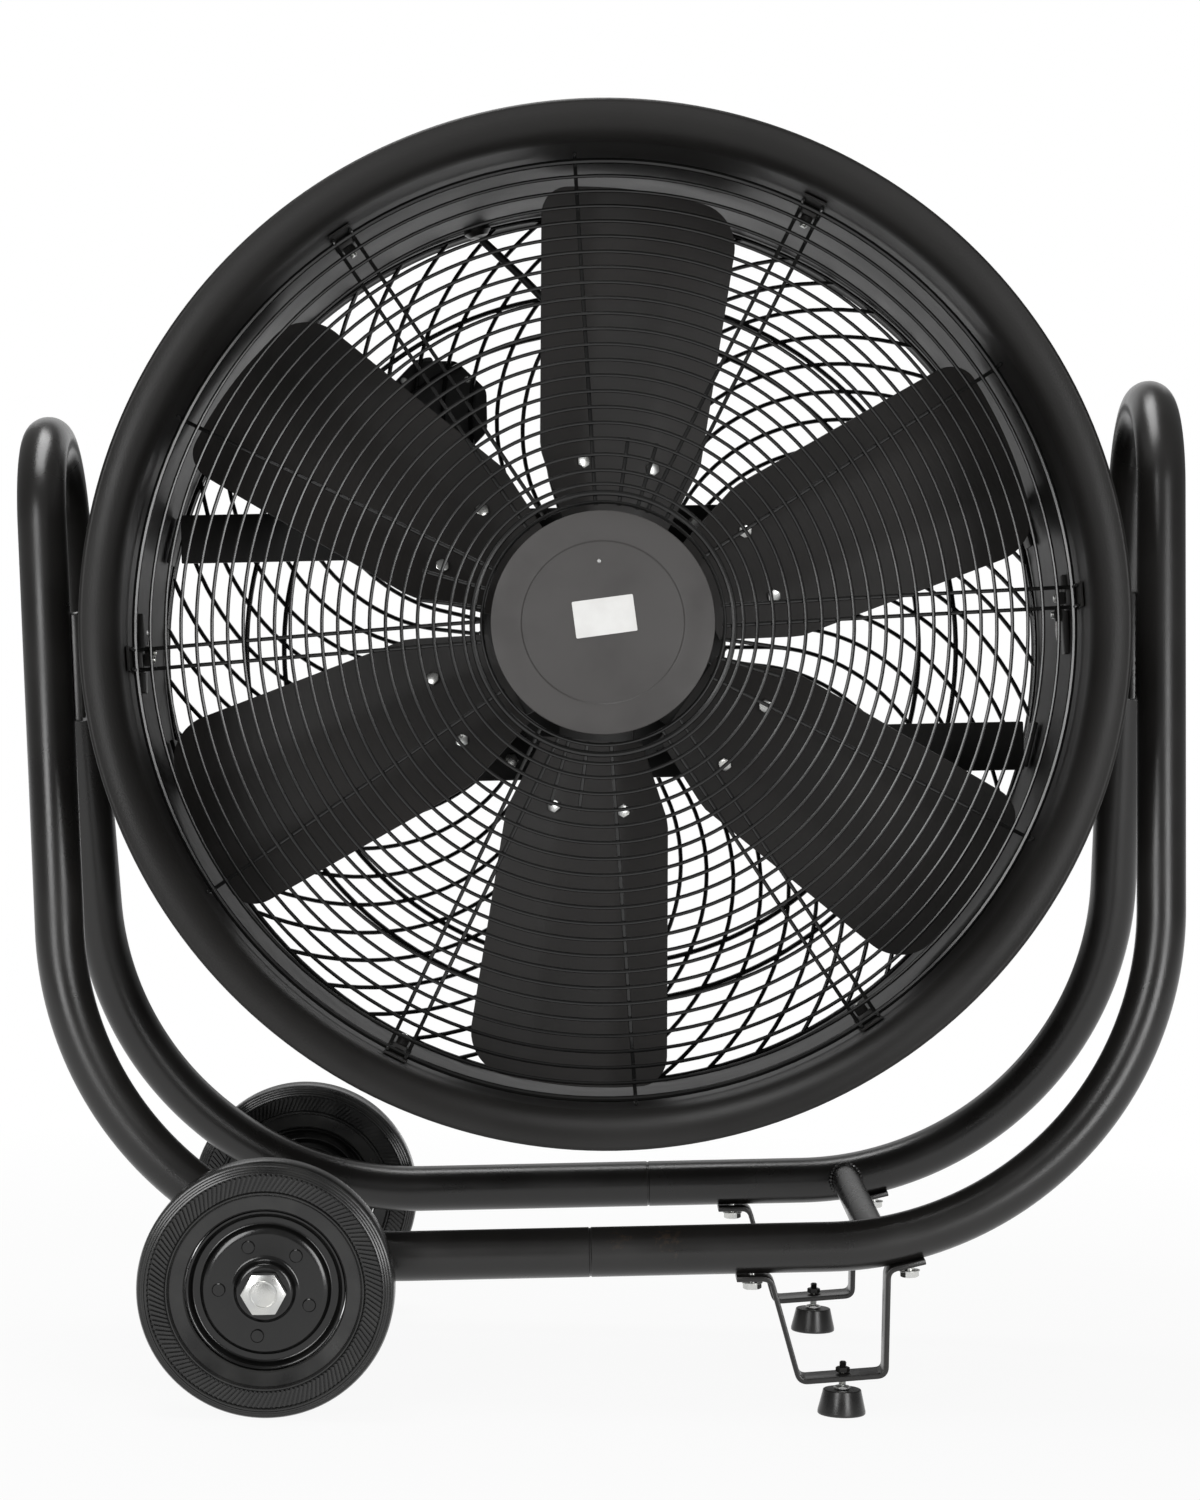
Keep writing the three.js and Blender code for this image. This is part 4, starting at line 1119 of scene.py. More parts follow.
@dataclass
class RunningGear:
    """Axle, its brackets, and the two wheels."""

    shop: Workshop
    copies: TurnedCopies
    x: float = -279.0
    wheel_y: float = 242.0
    radius: float = 101.6
    width: float = 44.0
    hatches: int = 140
    boss_circle: float = 36.5
    boss_angles: tuple[float, ...] = (110.0, 47.0, -20.0, -101.0, 178.0)

    def height(self) -> float:
        """The axle's height in the stand frame, so that the wheels stand on the floor."""
        return (self.radius - math.sin(self.shop.lean) * self.x) / math.cos(self.shop.lean)

    def _tyre(self) -> Shape:
        """The tyre: grooved shoulder, hatched band and a ridge at its bead, the same on both faces.

        Returns:
            The tyre about its own centre.
        """
        h = self.width / 2
        face = [(63.4, -h + 7), (64.6, -h + 5.8), (75.0, -h + 4.2), (76.0, -h + 1.0)]
        face += [(76.8, -h + 0.1), (77.8, -h + 0.1), (78.6, -h + 1.2), (79.0, -h + 3.4)]
        face += [(91.8, -h + 3.6), (92.2, -h + 1.4)]
        for k in range(4):
            r = 93.0 + 1.9 * k
            y = -h + 0.8 + 0.41 * k * k + 0.4 * k
            face += [(r, y), (r + 1.0, y + 0.3), (r + 1.2, y + 1.7), (r + 1.6, y + 1.7)]
        face += [(101.2, -h + 9.2), (self.radius, -h + 12)]
        back = [(r, -y) for r, y in reversed(face)]
        body = lathe(face + back, 160)
        ribs = Shape()
        for way in (-1, 1):
            bar = block(13.4, 2.6, 1.7).turned(-0.5 * way, "Y").moved(85.4, way * (h - 1.8), 0)
            ribs = ribs + self.copies.run(bar, Count=self.hatches, First=0.0, Step=2 * math.pi / self.hatches)
        return body + ribs

    def _disc(self) -> Shape:
        """The moulded wheel disc: hub collar, dished face with small bosses, deep groove and rim.

        Returns:
            The disc about its own centre.
        """
        h = self.width / 2
        face = [(13.35, -h), (20.0, -h), (22.4, -h + 1.2), (23.4, -h + 6.0), (26.5, -h + 8.4)]
        face += [(45.5, -h + 8.8), (49.5, -h + 10.2), (51.2, -h + 15.5), (57.6, -h + 15.5)]
        face += [(60.2, -h + 9.0), (62.65, -h + 8.2)]
        back = [(r, -y) for r, y in reversed(face)]
        body = lathe(softened(face + back, 1.4, 3), 120)
        for way in (-1, 1):
            for angle in self.boss_angles:
                boss = lathe([(0, 0), (4.6, 0), (5.3, 0.7), (5.3, 2.6), (0, 2.6)], 28)
                boss = boss + lathe([(5.9, 1.9), (6.6, 2.2), (6.6, 2.8), (5.9, 2.8)], 28)
                x, z = polar(self.boss_circle, math.radians(angle))
                spot = boss.moved(x, -h + 6.9, z)
                body = body + (spot if way < 0 else spot.turned(math.pi, "Z"))
        return body

    def _bush(self) -> Shape:
        """The bush that runs on the axle."""
        h = self.width / 2 + 0.6
        return sleeve(10.35, 13, -h, h, 0.5)

    def _bracket(self, end: int) -> Shape:
        """Sleeve and web that hold the axle under a tube, with weld along the sleeve.

        Args:
            end: -1 for the front, 1 for the rear.

        Returns:
            The bracket in the stand frame.
        """
        out = sleeve(10.4, 17, -26, 26, 0.8) + block(26, 30, 26).chamfered(1.2).moved(0, 0, 20)
        for side in (-1, 1):
            line = [Vector((side * 14.2, y, 9.6)) for y in range(-15, 16, 2)]
            out = out + swept(line, lambda i: 2.0 + 0.4 * math.sin(i * 2.1), 8)
        return out.moved(self.x, end * TRACK / 2, self.height())

    def build(self) -> None:
        """Builds the axle, its brackets and the wheels."""
        place = self.shop.stand()
        z = self.height()
        outer = self.wheel_y + self.width / 2
        head = hexagon(31, 12.0) + lathe([(9.2, 0.4), (9.6, -0.5), (10.8, -0.5), (11.2, 0.4)], 48)
        head = head.moved(self.x, -outer - 13.0, z)
        flange = washer(10.2, 15.4, 1.0).moved(self.x, -outer - 1.6, z)
        shank = bar_y(10, -outer - 4, outer + 16, 40, 0.5).moved(self.x, 0, z)
        tail = threaded(10, outer + 3, outer + 20, 2.5, 40).moved(self.x, 0, z)
        axle = head + flange + shank + tail
        shop = self.shop
        zinc = ([ZINC_PLATE], Body.STAND, Slot.ZINC)
        shop.piece("axle_bolt", axle, place, *zinc, "axle")
        nut = hexagon(31, 14.6, 10.3).moved(self.x, outer + 1.6, z)
        shop.piece("axle_lock_nut", nut, place, *zinc, "axle_nut")
        for end, name, body in ((-1, "front", Body.WHEEL_FRONT), (1, "rear", Body.WHEEL_REAR)):
            paint = ([CRADLE_COAT], Body.STAND, Slot.CRADLE_PAINT)
            shop.piece(f"axle_sleeve_{name}", self._bracket(end), place, *paint, f"axle_bracket_{name}")
            at = place @ Matrix.Translation((self.x, end * self.wheel_y, z))
            shop.piece(
                f"rubber_tyre_{name}", self._tyre(), at, [TYRE_RUBBER], body, Slot.TYRE, f"tyre_{name}"
            )
            moulded = ([WHEEL_PLASTIC], body, Slot.WHEEL_PLASTIC)
            shop.piece(f"moulded_disc_{name}", self._disc(), at, *moulded, f"wheel_disc_{name}")
            shop.piece(f"plain_bush_{name}", self._bush(), at, *moulded, f"wheel_bush_{name}")


# ---- Feet ---------------------------------------------------------------------------------------


@dataclass
class Feet:
    """The bent foot brackets, their bolts, and the rubber feet on studs."""

    shop: Workshop
    x: float = 177.0
    strip: float = 4.2
    strip_width: float = 30.0
    bolts: tuple[tuple[float, float], ...] = ((107.0, 100.6), (234.0, 107.4))

    def _bracket(self) -> Shape:
        """The strip, bent to a square-bottomed hook with a flange at each end.

        Returns:
            The strip about the stand's middle plane.
        """
        corners = [(94, 104.4), (121.5, 104.4), (143, 20.4), (212.5, 24.2), (216, 109), (246, 115.4)]
        line = softened(corners, 7, 8, closed=False)
        left: Outline = []
        right: Outline = []
        for i, (x, z) in enumerate(line):
            ax, az = line[max(i - 1, 0)]
            bx, bz = line[min(i + 1, len(line) - 1)]
            away = Vector((-(bz - az), bx - ax)).normalized() * (self.strip / 2)
            left.append((x + away.x, z + away.y))
            right.insert(0, (x - away.x, z - away.y))
        return prism(left + right, -self.strip_width / 2, self.strip_width / 2).chamfered(0.7, 2, 60)

    def _bolt(self, x: float, z: float) -> Shape:
        """A flange bolt from below.

        Args:
            x: its x in the stand frame.
            z: the height of the flange it holds.

        Returns:
            The bolt, upright.
        """
        head = hexagon(13, 5.4) + washer(4.2, 8.4, 1.2).moved(0, 4.6, 0)
        shank = bar_y(4, 4, 26, 20, 0.4)
        return (head + shank).placed(UPRIGHT).moved(x, 0, z - 6.2)

    def _foot(self) -> Shape:
        """The rubber foot: a plain cone, upright on the floor."""
        cone = [(0, 0), (18.7, 0), (19.4, 0.7), (19.4, 2.6), (15.4, 19.5), (14.8, 20)]
        return lathe(cone + [(4.6, 20), (4.4, 9), (0, 9)], 56).placed(UPRIGHT)

    def _stud(self) -> Shape:
        """The threaded stud with a thin nut on the foot and a dark one on the strip.

        Returns:
            The stud and its nuts, upright, measured from the floor.
        """
        rod = threaded(3.0, 9.4, 38.0, 1.0, 24)
        end = threaded(3.0, 37.0, 42.6, 1.0, 24).painted(1)
        low = hexagon(12, 2.2, 3.1).moved(0, 20.4, 0)
        high = hexagon(10, 4.2, 3.1).moved(0, 33.8, 0).painted(1)
        return (rod + end + low + high).placed(UPRIGHT)

    def build(self) -> None:
        """Builds both feet."""
        shop = self.shop
        place = shop.stand()
        for end, name in ((-1, "front"), (1, "rear")):
            y = end * TRACK / 2
            strip = self._bracket().moved(0, y, 0)
            paint = ([CRADLE_COAT], Body.STAND, Slot.CRADLE_PAINT)
            shop.piece(f"foot_strip_{name}", strip, place, *paint, f"foot_bracket_{name}")
            bolts = Shape()
            for bx, bz in self.bolts:
                bolts = bolts + self._bolt(bx, bz).moved(0, y, 0)
            first = 1 if end < 0 else 3
            nodes = (f"foot_bolt_{first}", f"foot_bolt_{first + 1}")
            shop.piece(f"flange_bolts_{name}", bolts, place, [ZINC_PLATE], Body.STAND, Slot.ZINC, *nodes)
            level = shop.level(self.x, y)
            rubber = ([FOOT_RUBBER], Body.STAND, Slot.RUBBER)
            shop.piece(f"rubber_cone_{name}", self._foot(), level, *rubber, f"rubber_foot_{name}")
            zinc = ([ZINC_PLATE, MOTOR_COAT], Body.STAND, Slot.ZINC)
            shop.piece(f"foot_screw_{name}", self._stud(), level, *zinc, f"foot_stud_{name}")


# ---- Drum ---------------------------------------------------------------------------------------


@dataclass
class Drum:
    """The shell with its flared front lip, and what is fixed through its wall."""

    shop: Workshop
    copies: TurnedCopies
    wall: float = 2.6
    flare: float = 31.0
    front: float = -205.0
    rear: float = 205.0
    clip_first: float = 2.7
    clip_y: float = -108.4
    clip_rivet_y: float = -103.0
    guard_rivet_y: float = 192.0
    bar_bolt_y: tuple[float, float] = (100.0, 118.0)
    bar_bolt_angles: tuple[float, ...] = (14.5, -14.5, 165.5, 194.5)

    def _shell(self) -> Shape:
        """The wall: rolled bead, flare, barrel and the rear edge turned in.

        Returns:
            The shell in the drum frame.
        """
        r, rear = DRUM_INSIDE, self.rear
        cr, cy = r + self.flare, self.front + self.flare
        inner = arc(cr, cy, self.flare, 180, 262, 18)
        bead = arc(cr - 3.2, self.front + 3.3, 3.1, 268, 450, 12)
        outer = arc(cr, cy, self.flare - self.wall, 258, 180, 16)
        back = [(r + self.wall, rear - 5), (r + self.wall - 0.4, rear - 1.2), (r - 0.6, rear)]
        turn_in = [(r - 1.4, rear), (r - 1.8, rear - 0.8), (r - 1.4, rear - 1.8)]
        return lathe(inner + bead + outer + back + turn_in + [(r - 0.6, rear - 3.2), (r, rear - 9)], 224)

    def _lap_seam(self) -> Shape:
        """The sheet's lap seam along the barrel, at the bottom rear."""
        strip = prism(softened(oblong(-9, 0, 9, 1.0), 0.4, 2), -166, 196)
        return strip.moved(0, 0, DRUM_INSIDE + self.wall - 0.35).turned(math.radians(172), "Y")

    def _rivets(self) -> Shape:
        """Round rivet heads outside the wall: over the guard clips and near the rear guard.

        Returns:
            The rivets in the drum frame.
        """
        head = lathe([(0, 3.0), (3.2, 2.4), (5.2, 1.1), (5.8, 0), (0, 0)], 20).turned(-math.pi / 2, "Z")
        out = Shape()
        for y, first in ((self.clip_rivet_y, self.clip_first), (self.guard_rivet_y, self.clip_first + 30)):
            one = head.moved(DRUM_INSIDE + self.wall - 0.2, y, 0)
            out = out + self.copies.run(one, Count=6, First=math.radians(first), Step=SIXTH_TURN)
        return out

    def _bar_bolts(self) -> Shape:
        """Hexagon bolts outside the wall, two at each end of each motor bar.

        Returns:
            The bolts and washers in the drum frame.
        """
        out = Shape()
        outside = DRUM_INSIDE + self.wall
        head = hexagon(10, 4.6).turned(-math.pi / 2, "Z").moved(outside + 0.6, 0, 0)
        disc = washer(3.4, 7.4, 1.2).turned(-math.pi / 2, "Z").moved(outside - 0.4, 0, 0)
        for slope in self.bar_bolt_angles:
            for y in self.bar_bolt_y:
                out = out + (head + disc).turned(-math.radians(slope), "Y").moved(0, y, 0)
        return out

    def _clip(self, k: int) -> Shape:
        """A clip that holds the guard's outer wire: a strip along the wall, a block and a radial bolt.

        Args:
            k: its number from 0, counted round the drum.

        Returns:
            The clip in the drum frame.
        """
        strip = block(1.4, 68, 20).moved(386.0, -118, 0)
        grip = block(8.2, 18, 20).chamfered(1.6).moved(381.2, self.clip_y, 0)
        bolt = self._inward_bolt(10, 377.2, 368).moved(0, self.clip_y, 0)
        return (strip + grip + bolt).turned(-math.radians(self.clip_first + 60 * k), "Y")

    def _inward_bolt(self, across_flats: float, seat: float, end: float) -> Shape:
        """A nut on its seat inside the wall, and the bright end of the bolt through it.

        Args:
            across_flats: the nut's spanner size.
            seat: radius at which the nut sits.
            end: radius that the bolt's end reaches.

        Returns:
            The nut and the bolt's end along X, the end with the second finish.
        """
        nut = hexagon(across_flats, seat - end - 3).turned(math.pi / 2, "Z").moved(seat, 0, 0)
        tip = threaded(3.4, 0, seat - end, 1.2, 18).turned(math.pi / 2, "Z").moved(seat, 0, 0)
        return nut + tip.painted(1)

    def _side_strip(self, angle: float) -> Shape:
        """A short strip across the inside of the wall beside a pivot, with its bolt.

        Args:
            angle: its angle round the drum, in degrees.

        Returns:
            The strip in the drum frame.
        """
        pad = [(387.4, -33), (387.4, 33), (382.6, 33), (381.8, 0), (382.6, -33)]
        strip = prism(softened(pad, 1.0, 2), -52, -34).chamfered(0.8)
        bolt = self._inward_bolt(11, 382.2, 373).moved(0, -47, 0)
        return (strip + bolt).turned(-math.radians(angle), "Y")

    def _stud(self, side: int) -> Shape:
        """The pivot stud: low round head inside the wall, collar, and thread out through the plate.

        Args:
            side: -1 for the left, 1 for the right.

        Returns:
            The stud in the drum frame.
        """
        head = lathe([(0, 383.6), (11.2, 383.8), (13, 385.2), (13, 386.8), (0, 386.8)], 40)
        collar = sleeve(8, 16, 391.4, 428, 1.2, steps=3)
        rod = bar_y(8, 385, 440, 32, 0.4) + threaded(8, 439, 462, 2.0, 32)
        return (head + collar + rod).turned(-side * math.pi / 2, "Z")

    def build(self) -> None:
        """Builds the shell and its fixings."""
        shop = self.shop
        place = shop.drum()
        shell = self._shell() + self._lap_seam() + self._rivets()
        shop.piece("rolled_drum", shell, place, [DRUM_COAT], Body.DRUM, Slot.DRUM_PAINT, "drum_shell")
        zinc = ([ZINC_PLATE], Body.DRUM, Slot.ZINC)
        shop.piece("bar_bolts", self._bar_bolts(), place, *zinc)
        strips = self._side_strip(1.2) + self._side_strip(181.3)
        bolted = ([DRUM_COAT, ZINC_PLATE], Body.DRUM, Slot.DRUM_PAINT)
        shop.piece("side_strips", strips, place, *bolted)
        for k in range(6):
            shop.piece(f"guard_hook_{k + 1}", self._clip(k), place, *bolted, f"guard_clip_{k + 1}")
        for side, name in ((-1, "left"), (1, "right")):
            shop.piece(f"pivot_bolt_{name}", self._stud(side), place, *zinc, f"pivot_stud_{name}")


@dataclass
class Guards:
    """The domed front guard with its plate and label, and the swirling rear guard."""

    shop: Workshop
    rings: RingWires
    spokes: SpokeWires
    copies: TurnedCopies
    rim: float = 383.0
    centre_y: float = -199.0
    centre_x: float = -2.9
    edge_y: float = -120.0
    plate_y: float = -204.0
    plate_share: float = 0.9
    spoke_first: float = 2.7
    spoke_aside: float = 8.2
    middle_first: float = 32.5
    rear_y: float = 168.0
    rear_spokes: int = 54

    def _front(self) -> Shape:
        """Rings in front, spokes welded behind them.

        Returns:
            The guard in the drum frame.
        """
        finish = self.shop.material(WIRE_COAT)
        dome = {"Edge": self.edge_y, "Centre": self.centre_y, "Rim": self.rim, "Power": 1.5, "Finish": finish}
        out = Shape()
        for count, first, wire in (
            (1, 97.0, 1.5), (1, 104.6, 2.3), (1, 112.0, 1.5), (20, 123.0, 1.5), (1, 383.0, 2.4)
        ):
            out = out + self.rings.run(Count=count, First=first, Pitch=13.0, Segments=160, Wire=wire, **dome)
        behind = dome | {"Edge": self.edge_y + 2.6, "Centre": self.centre_y + 2.6, "Wire": 1.6}
        plain = {"Swirl": 0.0, "Swirl From": 0.0, "Swirl Power": 1.0, "Points": 24}
        six = {"Count": 6, "Step": SIXTH_TURN, "Inner": 95.0, "Outer": 384.0}
        paired, middle = self.spoke_first, self.middle_first
        aside = self.spoke_aside
        for first, offset in ((paired, -aside), (paired, aside), (middle, 0.0)):
            out = out + self.spokes.run(First=math.radians(first), Aside=offset, **six, **plain, **behind)
        four = {"Count": 4, "Step": math.pi / 2, "Inner": 95.0, "Outer": 151.0}
        for first in (72.4, 81.3):
            out = out + self.spokes.run(First=math.radians(first), Aside=0.0, **four, **plain, **behind)
        for radius, offset, first in ((383.6, -aside, paired), (383.6, aside, paired), (386.2, 0.0, middle)):
            end = bar_y(1.6, -139, self.edge_y + 3, 8, 0.4).moved(radius, 0, offset)
            out = out + self.copies.run(end, Count=6, First=math.radians(first), Step=SIXTH_TURN)
        return self._off_centre(out)

    def _off_centre(self, guard: Shape) -> Shape:
        """The guard with its centre drawn aside by centre_x, fading to nothing at its rim.

        Args:
            guard: the guard about the drum's axis.

        Returns:
            The shifted guard.
        """
        shift = [self.centre_x * max(1 - math.hypot(p.x, p.z) / self.rim, 0.0) for p in guard.points]
        points = [p + Vector((x, 0, 0)) for p, x in zip(guard.points, shift)]
        return Shape(points, guard.faces, guard.finishes)

    def _rear(self) -> Shape:
        """Swirling wires welded to four rings.

        Returns:
            The guard in the drum frame.
        """
        finish = self.shop.material(WIRE_COAT)
        dome = {
            "Edge": self.rear_y, "Centre": self.rear_y + 7, "Rim": self.rim, "Power": 2.0, "Finish": finish
        }
        swirl = {"Swirl": -0.62, "Swirl From": 150.0, "Swirl Power": 1.6, "Points": 40, "Aside": 0.0}
        step = 2 * math.pi / self.rear_spokes
        wires = {"Count": self.rear_spokes, "Step": step, "Inner": 84.0, "Outer": 385.0, "Wire": 1.9}
        out = self.spokes.run(First=0.1, **wires, **swirl, **dome)
        for first, wire in ((84.0, 2.0), (282.0, 2.2), (315.0, 2.2), (385.4, 2.0)):
            out = out + self.rings.run(Count=1, First=first, Pitch=1.0, Segments=144, Wire=wire, **dome)
        return out

    def _plate(self) -> Shape:
        """The pressed disc: turned-back edge, and an inner disc pressed in behind the rim.

        Returns:
            The plate in the drum frame, its small rivet with the second finish.
        """
        inner = [(0, 1.8), (63.2, 1.8), (64.2, 1.5), (65.4, 0.3)]
        rim = [(66.4, 0), (88.0, 0), (88.9, 0.3), (89.3, 1.2), (89.3, 2.9), (88.3, 2.9)]
        profile = [(r, self.plate_y + y) for r, y in inner + rim + [(88.0, 1.4), (0, 2.9)]]
        rivet = lathe([(0, -0.9), (1.2, -0.7), (1.8, 0), (0, 0)], 16).moved(-2, self.plate_y + 1.8, 49)
        return (lathe(profile, 120) + rivet.painted(1)).moved(self.centre_x * self.plate_share)

    def _label(self) -> Shape:
        """The bare label film with rounded corners."""
        film = prism(softened(oblong(-24.5, -14.7, 24.5, 14.7), 1.2, 3), -0.15, 0.15).turned(-0.113, "Y")
        return film.moved(1.4 + self.centre_x * self.plate_share, self.plate_y + 1.5, 4.8)

    def build(self) -> None:
        """Builds both guards, the plate and the label."""
        place = self.shop.drum()
        shop = self.shop
        wire = ([WIRE_COAT], Body.DRUM, Slot.WIRE_PAINT)
        shop.piece("wire_guard_front", self._front(), place, *wire, "front_guard")
        shop.piece("wire_guard_rear", self._rear(), place, *wire, "rear_guard")
        enamel = ([PLATE_ENAMEL, ZINC_PLATE], Body.DRUM, Slot.GREY_PAINT)
        shop.piece("pressed_disc", self._plate(), place, *enamel, "centre_plate")
        shop.piece("label_film", self._label(), place, [LABEL_FILM], Body.DRUM, Slot.PAPER, "label_plate")


# ---- Rotor and motor ----------------------------------------------------------------------------


@dataclass
class Rotor:
    """Six pitched sheet blades on a spider."""

    shop: Workshop
    copies: TurnedCopies
    first: float = 24.1
    tip: float = 380.0
    widths: tuple[tuple[float, float], ...] = ((88.0, 88.0), (152.0, 144.0), (380.0, 181.0))
    corner: tuple[float, float] = (33.0, 22.0)
    pitch: float = 0.33
    camber: float = 11.0
    sheet: float = 2.0
    bolt_circle: float = 148.7
    bolt_angles: tuple[float, float] = (-11.2, 11.7)

    def _half(self, radius: float) -> float:
        """Half the blade's width at a radius.

        Args:
            radius: distance from the axis.

        Returns:
            Half the width there.
        """
        for (r0, w0), (r1, w1) in zip(self.widths, self.widths[1:]):
            if radius <= r1:
                return (w0 + (w1 - w0) * (radius - r0) / (r1 - r0)) / 2
        return self.widths[-1][1] / 2

    def _end(self, z: float) -> float:
        """How far out the sheet reaches at z: the tip's arc, less the rounded corner on that side.

        Args:
            z: distance from the blade's centre line.

        Returns:
            Distance of the sheet's end from the axis.
        """
        reach = math.sqrt(self.tip**2 - z**2)
        corner = self.corner[z > 0]
        into = abs(z) - (self._half(self.tip) - corner)
        return reach if into <= 0 else reach - corner + math.sqrt(max(corner**2 - into**2, 0.0))

    def _blade(self) -> Shape:
        """One blade along +X: flat in the middle, folded twice along its length, with rounded tip corners.

        Returns:
            The blade, pitched, about the rotor's axis.
        """
        rows, columns = 30, 36
        root = self.widths[0][0]
        front: list[list[Vector]] = []
        for i in range(rows + 1):
            row = []
            for j in range(columns + 1):
                u = math.sin(math.pi * (j / columns - 0.5))
                x = root + (self._end(u * self._half(self.tip)) - root) * i / rows
                row.append(Vector((x, self._fold(abs(u)), u * self._half(x))))
            front.append(row)
        shape = Shape()
        for layer in (-self.sheet / 2, self.sheet / 2):
            shape.points += [p + Vector((0, layer, 0)) for row in front for p in row]
        width = columns + 1
        back = (rows + 1) * width
        for i in range(rows):
            for j in range(columns):
                a = i * width + j
                shape.faces.append((a, a + 1, a + width + 1, a + width))
                shape.faces.append((back + a, back + a + 1, back + a + width + 1, back + a + width))
        rim = list(range(columns)) + [i * width + columns for i in range(rows)]
        rim += [rows * width + columns - j for j in range(columns)]
        rim += [(rows - i) * width for i in range(rows)]
        for k, a in enumerate(rim):
            b = rim[(k + 1) % len(rim)]
            shape.faces.append((a, b, back + b, back + a))
        return shape.mended().turned(self.pitch, "X")

    def _fold(self, u: float) -> float:
        """How far the sheet comes forward at a share u of its half width: two soft folds.

        Args:
            u: the share, 0 at the centre line and 1 at the edge.

        Returns:
            The way forward, which is negative along Y.
        """
        soft = 0.05
        past = u - 0.42
        if past <= -soft:
            return 0.0
        if past >= soft:
            return -past * self.camber
        return -self.camber * (past + soft) ** 2 / (4 * soft)

    def _bolts(self) -> Shape:
        """Two bright screws through each blade, with their nuts behind it.

        Returns:
            All twelve screws and nuts.
        """
        out = Shape()
        for angle in self.bolt_angles:
            x, z = polar(self.bolt_circle, math.radians(angle))
            screw = hexagon(10, 4.4).turned(math.radians(20 + angle * 3), "Y").moved(0, -5.4, 0)
            nut = hexagon(13, 5.0).moved(0, 4.4, 0)
            out = out + (screw + nut).moved(x, 0, z / math.cos(self.pitch)).turned(self.pitch, "X")
        return self._six(out)

    def _six(self, one: Shape) -> Shape:
        """One thing on each of the six blades."""
        return self.copies.run(one, Count=6, First=math.radians(self.first), Step=SIXTH_TURN)

    def _spider(self) -> Shape:
        """Boss, disc and six pitched arms behind the blades.

        Returns:
            The spider in the drum frame.
        """
        outline = [(45, -33), (150, -33), (165, -24), (165, 24), (150, 33), (45, 33)]
        arm = prism(softened(outline, 6, 4), 1.35, 4.35).chamfered(0.5).turned(self.pitch, "X")
        return self._six(arm) + sleeve(9, 72, 4, 10, 1.0, 72) + sleeve(8.4, 26, 2, 34, 1.5, 56, 3)

    def _shaft(self) -> Shape:
        """The shaft's end with its nut and washer."""
        rod = bar_y(8, -6, 60, 32, 0.6) + threaded(8, -14, -5, 1.6, 32)
        return rod + hexagon(24, 9.6, 8.1).moved(0, -11.4, 0) + washer(8.4, 14, 1.6).moved(0, -1.6, 0)

    def build(self) -> None:
        """Builds the rotor's pieces."""
        shop = self.shop
        place = shop.drum()
        paint = ([BLADE_COAT], Body.ROTOR, Slot.BLADE_PAINT)
        for k in range(6):
            blade = self._blade().turned(-math.radians(self.first + 60 * k), "Y")
            shop.piece(f"sheet_blade_{k + 1}", blade, place, *paint, f"blade_{k + 1}")
        zinc = ([ZINC_PLATE], Body.ROTOR, Slot.ZINC)
        shop.piece("blade_bolts", self._bolts(), place, *zinc)
        shop.piece(
            "hub_arms", self._spider(), place, [MOTOR_COAT], Body.ROTOR, Slot.MOTOR_PAINT, "hub_spider"
        )
        shop.piece("shaft_end", self._shaft(), place, *zinc, "motor_shaft")


